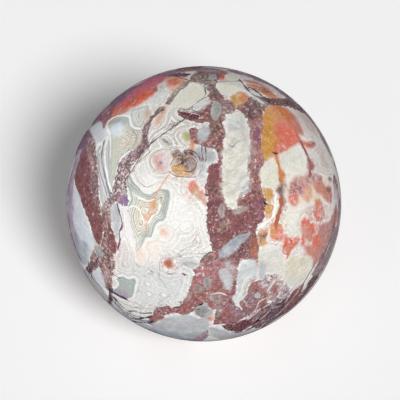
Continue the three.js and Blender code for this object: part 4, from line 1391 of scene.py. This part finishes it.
def chalcedonyGroup():
    # translucent agate with bands that run along its edge
    look = {
        "driftGrain": (0.3, 4.0, 0.55),
        "driftReach": 1.3,                   # mm
        "bandWidth": 3.8,                    # mm for all the bands
        "bands": [
            (0.0, "smoke"), (0.1, "teal"), (0.15, "smoke"), (0.2, "snow"), (0.23, "teal"), (0.28, "lace"),
            (0.31, "sage"), (0.42, "sage"), (0.45, "snow"), (0.48, "beige"), (0.52, "ringBrown"),
            (0.55, "snow"), (0.59, "sage"), (0.66, "bone"), (0.69, "tan"), (0.72, "snow"), (0.76, "beige"),
            (0.8, "tan"), (0.84, "bone"), (1.0, "blush")],
        "lineTurn": 12.0,                    # radians per mm, of the finest lines
        "lined": (0.0, 0.8, 0.25, 1.0),
        "paleLine": (0.3, 1.0, 0.0, 0.5),
        "darkLine": (-1.0, -0.5, 0.3, 0.0),
    }
    group, source, sink = newGroup(
        "chalcedony", {"Vector": arrow, "Distance": number, "Tint": colour, "Bands": number},
        {"Color": colour})
    wandered = drift(group, source["Vector"], *look["driftGrain"])
    depth = addTimes(group, wandered, look["driftReach"], source["Distance"])
    bands = bandStops(group, calc(group, "DIVIDE", depth, look["bandWidth"]), look["bands"])
    banded = mixColour(group, source["Bands"], source["Tint"], bands)
    fine = calc(group, "SINE", times(group, depth, look["lineTurn"]))
    lined = ramp(group, source["Bands"], *look["lined"])
    pale = times(group, ramp(group, fine, *look["paleLine"]), lined)
    dark = times(group, ramp(group, fine, *look["darkLine"]), lined)
    light = mixColour(group, pale, banded, colourOf("snow"))
    feed(group, sink["Color"], mixColour(group, dark, light, colourOf("smoke")))
    return group


def brecciaGroup():
    # crushed agate in red-brown cement: light and dark crumbs, large and small
    look = {
        "toneGrain": (0.9, 6.0, 0.75),
        "tone": (0.32, 0.68, 0.66, 1.34),
        "brownGrain": (0.3, 3.0, 0.6),
        "brown": (0.5, 0.66, 0.0, 0.5),
        "redGrain": (0.42, 3.0, 0.6, 0.6),
        "red": (0.54, 0.68, 0.0, 0.5),
        "dustGrain": (2.0, 4.0, 0.7),
        "dust": (0.5, 0.66, 0.0, 0.6),
        "dustByCrumbs": (0.0, 0.8, 0.35, 1.0),
        "shakePerMm": 1.5,                   # the noise that makes the crumbs uneven
        "shakeDetail": 3.0,
        "shakeReach": 1.5,
        "patchGrain": (0.35, 2.0),
        "patch": (0.38, 0.6, 0.45, 1.15),
        "crumbs": {"large": (1.3, 0.4, 0.7), "small": (2.7, 0.75, 0.55)},   # per mm, how many, strength
        "crumbBody": (0.42, 0.62, 1.0, 0.0),
        "crumbTints": [
            (0.0, "night"), (0.16, "wine"), (0.36, "umber"), (0.52, "rust"), (0.62, "salmon"),
            (0.76, "crumbPink"), (0.93, "petal"), (1.0, "snow")],
        "crumbEdge": 0.02,
        "gritty": 0.3,                       # the share of the crumbs, the darkest, that is dull
        "seamsPerMm": 0.8,
        "seamWidth": (0.03, 0.16, 1.0, 0.0),
        "seamByCrumbs": (0.8, 1.4, 0.2, 0.85),
    }
    group, source, sink = newGroup(
        "breccia", {"Vector": arrow, "Tint": colour, "Crumbs": number}, {"Color": colour, "Grit": number})
    vector = source["Vector"]
    brown = patches(group, vector, look, "brown")
    shaded = mixColour(group, brown, source["Tint"], colourOf("ringBrown"))
    red = patches(group, vector, look, "red")
    shaded = mixColour(group, red, shaded, colourOf("berry"))
    shaded = lighten(group, shaded, patches(group, vector, look, "tone"))
    dust = patches(group, vector, look, "dust")
    dust = times(group, dust, ramp(group, source["Crumbs"], *look["dustByCrumbs"]))
    shaded = mixColour(group, dust, shaded, colourOf("crumbPink"))
    shake = addNode(group, "ShaderNodeTexNoise", {
        "Vector": vector, "Scale": look["shakePerMm"], "Detail": look["shakeDetail"]}).outputs["Color"]
    shaken = addNode(group, "ShaderNodeVectorMath", {0: shake, 1: (look["shakeReach"],) * 3, 2: vector},
                     operation="MULTIPLY_ADD").outputs[0]
    patch = patches(group, vector, look, "patch")
    share = times(group, source["Crumbs"], patch)
    grit = 0.0
    for perMm, reach, strength in look["crumbs"].values():
        cells = addNode(group, "ShaderNodeTexVoronoi", {"Vector": shaken, "Scale": perMm}).outputs
        chance = addNode(group, "ShaderNodeSeparateColor", {0: cells["Color"]}).outputs
        body = ramp(group, cells["Distance"], *look["crumbBody"])
        cut = addTimes(group, share, -reach, 1.0)
        taken = times(group, body, ramp(group, chance[0], cut, calc(group, "ADD", cut, look["crumbEdge"])))
        crumb = bandStops(group, chance[1], look["crumbTints"])
        shaded = mixColour(group, times(group, taken, strength), shaded, crumb)
        dull = times(group, taken, calc(group, "LESS_THAN", chance[1], look["gritty"]))
        grit = calc(group, "MAXIMUM", grit, dull)
    cracks = addNode(group, "ShaderNodeTexVoronoi", {"Vector": shaken, "Scale": look["seamsPerMm"]},
                     feature="DISTANCE_TO_EDGE").outputs["Distance"]
    seam = times(group, ramp(group, cracks, *look["seamWidth"]),
                 ramp(group, source["Crumbs"], *look["seamByCrumbs"]))
    feed(group, sink["Color"], mixColour(group, seam, shaded, colourOf("umber")))
    feed(group, sink["Grit"], grit)
    return group


def shardGroup():
    # a broken piece: growth streaks and a pale edge
    look = {
        "turn": (0.2, 0.12, 0.0),            # of the streaks, radians
        "stretch": (0.35, 0.5, 1.9),
        "streakGrain": (0.9, 5.0, 0.65),
        "streak": (0.38, 0.66),
        "streakStrength": 0.8,
        "streakTint": (0.58, 0.56, 0.56, 1),     # times the piece's own tint
        "cloudGrain": (0.35, 5.0, 0.65),
        "cloud": (0.42, 0.68, 0.0, 0.32),
        "edge": (0.15, 0.4, 0.16, 0.0),
    }
    group, source, sink = newGroup(
        "shard", {"Vector": arrow, "Distance": number, "Tint": colour, "Streaks": number}, {"Color": colour})
    stretched = stretch(group, source["Vector"], look["stretch"], look["turn"])
    streak = patches(group, stretched, look, "streak")
    shade = mixColour(group, 1.0, source["Tint"], look["streakTint"], "MULTIPLY")
    strength = times(group, source["Streaks"], look["streakStrength"])
    streaked = mixColour(group, times(group, streak, strength), source["Tint"], shade)
    cloud = patches(group, source["Vector"], look, "cloud")
    clouded = mixColour(group, cloud, streaked, colourOf("snow"))
    edge = ramp(group, source["Distance"], *look["edge"])
    feed(group, sink["Color"], mixColour(group, edge, clouded, colourOf("snow")))
    return group


def stainGroup():
    # iron stain: blotches of its own tint with darker seams, redder at its edge
    look = {
        "blotchGrain": (0.75, 6.0, 0.68),
        "fleck": (0.5, 0.68),
        "fleckByCrispness": (0.35, 0.6, 0.22, 0.62),
        "blotch": (0.3, 0.46, 0.6, 0.0),
        "shade": (0.66, 0.46, 0.42, 1),      # times the stain's own tint
        "seamGrain": (0.6, 5.0, 0.6),
        "seam": (0.004, 0.022, 0.6, 0.0),
        "contourGrain": (1.1, 3.0, 0.55, 0.8),   # pale contours in crisp stains
        "contour": (0.012, 0.035, 1.0, 0.0),
        "contourByCrispness": (0.55, 0.85, 0.0, 0.75),
        "edge": (0.05, 0.4, 0.5, 0.0),
    }
    group, source, sink = newGroup(
        "stain", {"Vector": arrow, "Distance": number, "Tint": colour, "Crispness": number},
        {"Color": colour})
    vector = source["Vector"]
    crispness = source["Crispness"]
    blotch = noise(group, vector, *look["blotchGrain"])
    fleck = times(group, ramp(group, blotch, *look["fleck"]),
                  ramp(group, crispness, *look["fleckByCrispness"]))
    stained = mixColour(group, fleck, source["Tint"], colourOf("blush"))
    shade = mixColour(group, 1.0, source["Tint"], look["shade"], "MULTIPLY")
    stained = mixColour(group, ramp(group, blotch, *look["blotch"]), stained, shade)
    seam = ramp(group, crease(group, vector, *look["seamGrain"]), *look["seam"])
    stained = mixColour(group, seam, stained, shade)
    contour = times(group, ramp(group, crease(group, vector, *look["contourGrain"]), *look["contour"]),
                    ramp(group, crispness, *look["contourByCrispness"]))
    stained = mixColour(group, contour, stained, colourOf("petal"))
    edge = times(group, ramp(group, source["Distance"], *look["edge"]), crispness)
    feed(group, sink["Color"], mixColour(group, edge, stained, shade))
    return group


# how the layers of markings meet: an edge is how far coarse and fine grain push an outline, in mm,
# and a blend, reach, halo, skin or outline is a range of mm inside its layer
layers = {
    "chalcedonyEdge": (0.6, 0.2),
    "chalcedonyBlend": (-0.07, 0.1),
    "stainEdge": (2.0, 1.4),
    "stainBlend": (-1.2, 1.3),               # mm that crispness adds, and mm without it
    "wispGrain": (0.55, 6.0, 0.66, 0.6),     # red wisps round crisp stains
    "wisp": (0.006, 0.035, 0.8, 0.0),
    "wispReach": (-2.6, -0.3),
    "wispByCrispness": (0.2, 0.7),
    "halo": (-0.7, -0.1, 0.0, 0.5),          # pale round crisp stains
    "brecciaEdge": (1.5, 1.5),
    "brecciaBlend": (-0.08, 0.12),
    "skinMiddle": 0.1,                       # dark skin of the breccia
    "skin": (0.03, 0.17, 0.45, 0.0),
    "skinByCrumbs": (0.8, 1.3, 1.0, 0.3),
    "shardEdge": (0.9, 0.7),
    "leastStreaks": 0.06,
    "fibreStretch": (0.4, 0.4, 2.2),         # sugary edge of streaked pieces
    "fibreGrain": (1.0, 3.0, 0.6),
    "fibreReach": 3.0,
    "shardBlend": 1.1,                       # mm for a fully streaked piece
    "outlineMiddle": 0.12,                   # dark outline of plain pieces in breccia
    "outline": (0.05, 0.2, 0.45, 0.0),
    "outlineByStreaks": (0.2, 0.6, 1.0, 0.0),
    "lineWander": {"embers": 0.6, "threads": 0.2, "hairlines": 0.3},
    # painted shade in the pits: mm of depth over which it grows, and its strength
    "pit": (0.0, 0.35),
    "pitPaintedShade": 0.85,
}

# the stone's surface
finish = {
    "roughness": 0.1,
    "grittyRoughness": 0.32,   # in dark crumbs and pits
    "ior": 1.54,
    "relief": 0.03,            # mm that soft breccia lies below the hard agate after polishing
    "reliefStrength": 0.5,
}


def agateMaterial():
    material = bpy.data.materials.new("polished crazy lace agate")
    material.use_nodes = True
    tree = material.node_tree
    tree.nodes.clear()
    place = addNode(tree, "ShaderNodeTexCoord").outputs["Object"]
    vector = stretch(tree, place, (1 / metresPerMm,) * 3)
    ragged = raggedEdgeGroup()
    pastel = pastelGroup()
    thread = threadGroup()

    def valueOf(name):
        return attribute(tree, name)["Fac"]

    def tintOf(name):
        outputs = attribute(tree, name + "Tint")
        return outputs["Color"], outputs["Alpha"]

    def edgeOf(name, reaches):
        coarse, fine = layers[reaches]
        return useGroup(tree, ragged, {
            "Vector": vector, "Distance": valueOf(name), "Coarse": coarse, "Fine": fine})["Distance"]

    tint, lines = tintOf("lace")
    surface = useGroup(tree, laceGroup(), {
        "Vector": vector, "Gap": valueOf("laceGap"), "Tint": tint, "Lines": lines,
        "Strokes": valueOf("laceStrokes")})["Color"]

    tint, bands = tintOf("chalcedony")
    depth = edgeOf("chalcedony", "chalcedonyEdge")
    banded = useGroup(tree, chalcedonyGroup(), {
        "Vector": vector, "Distance": depth, "Tint": tint, "Bands": bands})["Color"]
    surface = mixColour(tree, ramp(tree, depth, *layers["chalcedonyBlend"]), surface, banded)
    surface = useGroup(tree, pastel, {"Vector": vector, "Color": surface})["Color"]

    tint, crisp = tintOf("stains")
    depth = edgeOf("stains", "stainEdge")
    stained = useGroup(tree, stainGroup(), {
        "Vector": vector, "Distance": depth, "Tint": tint, "Crispness": crisp})["Color"]
    blend = addTimes(tree, crisp, *layers["stainBlend"])
    stainShare = ramp(tree, calc(tree, "DIVIDE", depth, blend), -1.0, 1.0)
    wisp = ramp(tree, crease(tree, vector, *layers["wispGrain"]), *layers["wisp"])
    around = times(tree, ramp(tree, depth, *layers["wispReach"]),
                   ramp(tree, crisp, *layers["wispByCrispness"]))
    stainShare = calc(tree, "MAXIMUM", stainShare, times(tree, wisp, around))
    halo = times(tree, ramp(tree, depth, *layers["halo"]), crisp)
    surface = mixColour(tree, halo, surface, colourOf("snow"))
    surface = mixColour(tree, stainShare, surface, stained)

    tint, crumbs = tintOf("breccia")
    depth = edgeOf("breccia", "brecciaEdge")
    crushed = useGroup(tree, brecciaGroup(), {"Vector": vector, "Tint": tint, "Crumbs": crumbs})
    brecciaShare = ramp(tree, depth, *layers["brecciaBlend"])
    surface = mixColour(tree, brecciaShare, surface, crushed["Color"])
    skin = calc(tree, "ABSOLUTE", calc(tree, "SUBTRACT", depth, layers["skinMiddle"]))
    skin = times(tree, ramp(tree, skin, *layers["skin"]), ramp(tree, crumbs, *layers["skinByCrumbs"]))
    surface = mixColour(tree, skin, surface, colourOf("umber"))

    tint, streaks = tintOf("shards")
    depth = edgeOf("shards", "shardEdge")
    streaks = calc(tree, "MAXIMUM", streaks, layers["leastStreaks"])
    piece = useGroup(tree, shardGroup(), {
        "Vector": vector, "Distance": depth, "Tint": tint, "Streaks": streaks})["Color"]
    piece = useGroup(tree, pastel, {"Vector": vector, "Color": piece})["Color"]
    fibres = stretch(tree, vector, layers["fibreStretch"])
    sugar = times(tree, drift(tree, fibres, *layers["fibreGrain"]), streaks)
    depth = addTimes(tree, sugar, layers["fibreReach"], depth)
    outline = calc(tree, "ABSOLUTE", calc(tree, "ADD", depth, layers["outlineMiddle"]))
    outline = times(tree, ramp(tree, outline, *layers["outline"]), brecciaShare)
    outline = times(tree, outline, ramp(tree, streaks, *layers["outlineByStreaks"]))
    surface = mixColour(tree, outline, surface, colourOf("umber"))
    blend = times(tree, streaks, layers["shardBlend"])
    shardShare = ramp(tree, calc(tree, "DIVIDE", depth, blend), -1.0, 1.0)
    surface = mixColour(tree, shardShare, surface, piece)

    for name, wander in layers["lineWander"].items():
        tint, halfWidth = tintOf(name)
        mask = useGroup(tree, thread, {
            "Vector": vector, "Across": valueOf(name + "Across"), "Gap": valueOf(name + "Gap"),
            "Half Width": halfWidth, "Wander": wander})["Mask"]
        surface = mixColour(tree, mask, surface, tint)

    # painted shade: pits are darkened towards night by their depth
    pit = ramp(tree, valueOf("pitDepth"), *layers["pit"])
    surface = mixColour(tree, times(tree, pit, layers["pitPaintedShade"]), surface, colourOf("night"))

    soft = times(tree, brecciaShare, calc(tree, "SUBTRACT", 1.0, shardShare))
    gritty = calc(tree, "MAXIMUM", times(tree, soft, crushed["Grit"]), pit)
    roughness = ramp(tree, gritty, 0.0, 1.0, finish["roughness"], finish["grittyRoughness"])
    height = times(tree, calc(tree, "ADD", soft, gritty), -finish["relief"])
    bump = addNode(tree, "ShaderNodeBump", {
        "Strength": finish["reliefStrength"], "Distance": metresPerMm, "Height": height})
    shader = addNode(tree, "ShaderNodeBsdfPrincipled", {
        "Base Color": surface, "Roughness": roughness, "IOR": finish["ior"], "Normal": bump.outputs[0]})
    output = addNode(tree, "ShaderNodeOutputMaterial")
    tree.links.new(shader.outputs[0], output.inputs[0])
    return material


def dressStone(stone):
    stone.data.materials.clear()
    stone.data.materials.append(agateMaterial())
    bpy.ops.object.select_all(action="DESELECT")
    stone.select_set(True)
    bpy.context.view_layer.objects.active = stone
    bpy.ops.object.shade_smooth_by_angle(angle=math.radians(stoneForm["smoothAngle"]))


# the studio: a pale floor, a soft key lamp from the front right and a bright low surround
studio = {
    "floorSize": 6.0,          # metres
    "floorTint": (0.86, 0.86, 0.86),
    "floorRoughness": 0.9,
    "floorSeen": (1.15, 1.15, 1.15),          # the same floor as the camera sees it, close to white
    "floorReflection": (0.07, 0.05, 0.075),   # what the stone's rim mirrors
    "keyStrength": 2.1,        # watts per square metre
    "keySpread": 20.0,         # degrees
    "keyFrom": (0.4, -0.66, 1.0),
    "fillStrength": 1.1,       # on the stone alone, so the shadow stays deep
    "fillSpread": 70.0,
    "fillFrom": (-0.85, -0.25, 0.55),
    "glowTint": (0.97, 0.98, 1.0),
    "horizon": 1.0,            # glow of the surround just above the floor
    "zenith": 0.16,            # and straight up
    "glowHeight": 0.55,        # where it has faded to that, as the sine of its elevation
    "backdrop": (0.896, 0.896, 0.896),
}


def chooseShader(tree, ray, plain, special):
    # one shader for most rays, and another for one kind of ray
    mix = addNode(tree, "ShaderNodeMixShader", {0: addNode(tree, "ShaderNodeLightPath").outputs[ray]})
    tree.links.new(plain.outputs[0], mix.inputs[1])
    tree.links.new(special.outputs[0], mix.inputs[2])
    return mix


def layFloor():
    bpy.ops.object.select_all(action="DESELECT")
    bpy.ops.mesh.primitive_plane_add(size=studio["floorSize"])
    floor = bpy.context.object
    floor.name = "pale_floor"
    material = bpy.data.materials.new("pale floor")
    material.use_nodes = True
    tree = material.node_tree
    shader = tree.nodes["Principled BSDF"]
    shader.inputs["Base Color"].default_value = (*studio["floorTint"], 1)
    shader.inputs["Roughness"].default_value = studio["floorRoughness"]
    shader.inputs["Specular IOR Level"].default_value = 0.0
    seen = addNode(tree, "ShaderNodeBsdfDiffuse", {"Color": (*studio["floorSeen"], 1)})
    mirrored = addNode(tree, "ShaderNodeEmission", {"Color": (*studio["floorReflection"], 1)})
    straight = chooseShader(tree, "Is Camera Ray", shader, seen)
    surface = chooseShader(tree, "Is Glossy Ray", straight, mirrored)
    tree.links.new(surface.outputs[0], tree.nodes["Material Output"].inputs[0])
    floor.data.materials.append(material)


def setSurround():
    world = bpy.data.worlds.new("studio surround")
    bpy.context.scene.world = world
    world.use_nodes = True
    tree = world.node_tree
    tree.nodes.clear()
    place = addNode(tree, "ShaderNodeTexCoord").outputs["Generated"]
    height = addNode(tree, "ShaderNodeSeparateXYZ", {0: place}).outputs[2]
    glow = ramp(tree, height, 0.0, studio["glowHeight"], studio["horizon"], studio["zenith"])
    light = addNode(tree, "ShaderNodeBackground", {"Color": (*studio["glowTint"], 1), "Strength": glow})
    seen = addNode(tree, "ShaderNodeBackground", {"Color": (*studio["backdrop"], 1)})
    surface = chooseShader(tree, "Is Camera Ray", light, seen)
    tree.links.new(surface.outputs[0], addNode(tree, "ShaderNodeOutputWorld").inputs[0])


def addLights():
    for name in ("key", "fill"):
        light = bpy.data.lights.new(name, "SUN")
        light.energy = studio[name + "Strength"]
        light.angle = math.radians(studio[name + "Spread"])
        lamp = bpy.data.objects.new(name, light)
        lamp.rotation_euler = Vector(studio[name + "From"]).to_track_quat("Z", "Y").to_euler()
        lamp.visible_glossy = False
        bpy.context.scene.collection.objects.link(lamp)


# highlights seen only as reflections: x and y in the picture, length along the stone's radius and across
# it in picture pixels, strength, tint
highlights = {
    "window": (118, 130, 15, 17, 9.0, (0.4, 0.6, 1.0)),
    "window edge": (108, 131, 7, 8, 5.0, (0.6, 0.8, 1.0)),
    "lamp": (198, 204, 17, 22, 0.75, (0.96, 0.97, 1.0)),
}
highlightDistance = 0.3     # metres from the stone's middle


def addHighlights():
    eye = np.array(middle) + toCamera * cameraDistance
    for name, (x, y, along, across, strength, tint) in highlights.items():
        normal = pixelDirection(x, y)
        place = np.array(middle) + normal * radius
        sight = (place - eye) / np.linalg.norm(place - eye)
        away = sight - 2 * (sight @ normal) * normal
        slope = -(sight @ normal)
        panel = bpy.data.lights.new(name, "AREA")
        panel.shape = "ELLIPSE"
        panel.size = 2 * along * mmPerPixel / radiusMm / slope * highlightDistance
        panel.size_y = 2 * across * mmPerPixel / radiusMm * slope * highlightDistance
        panel.energy = strength * panel.size * panel.size_y
        panel.color = tint
        level = Vector(np.cross(sight, normal)).normalized()
        facing = Vector(away).normalized()
        lamp = bpy.data.objects.new(name, panel)
        lamp.location = Vector(place + away * highlightDistance)
        lamp.rotation_euler = Matrix((level.cross(facing), level, facing)).transposed().to_euler()
        lamp.visible_diffuse = False
        lamp.visible_camera = False
        bpy.context.scene.collection.objects.link(lamp)


def setCamera():
    data = bpy.data.cameras.new("camera")
    data.lens = picture["lens"]
    data.sensor_width = picture["sensor"]
    data.shift_x = (picture["size"] / 2 - picture["centreX"]) / picture["size"]
    data.shift_y = (picture["centreY"] - picture["size"] / 2) / picture["size"]
    data.clip_start = picture["nearest"]
    camera = bpy.data.objects.new("camera", data)
    camera.location = middle + Vector(toCamera) * cameraDistance
    camera.rotation_euler = Vector(toCamera).to_track_quat("Z", "Y").to_euler()
    bpy.context.scene.collection.objects.link(camera)
    bpy.context.scene.camera = camera


setCamera()
layFloor()
setSurround()
addLights()
addHighlights()
bpy.context.scene.view_settings.view_transform = "Standard"
print("studio set")
sphere = roundStone()
stoneOnly = bpy.data.collections.new("stone only")
stoneOnly.objects.link(sphere)
bpy.data.objects["fill"].light_linking.receiver_collection = stoneOnly
grindFlat(sphere)
cutPits(sphere)
print("stone rounded:", sum(len(face.vertices) - 2 for face in sphere.data.polygons), "triangles")
markStone(sphere)
print("markings laid on")
dressStone(sphere)
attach(sphere, "root")
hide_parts(nodeName)
print("stone dressed")
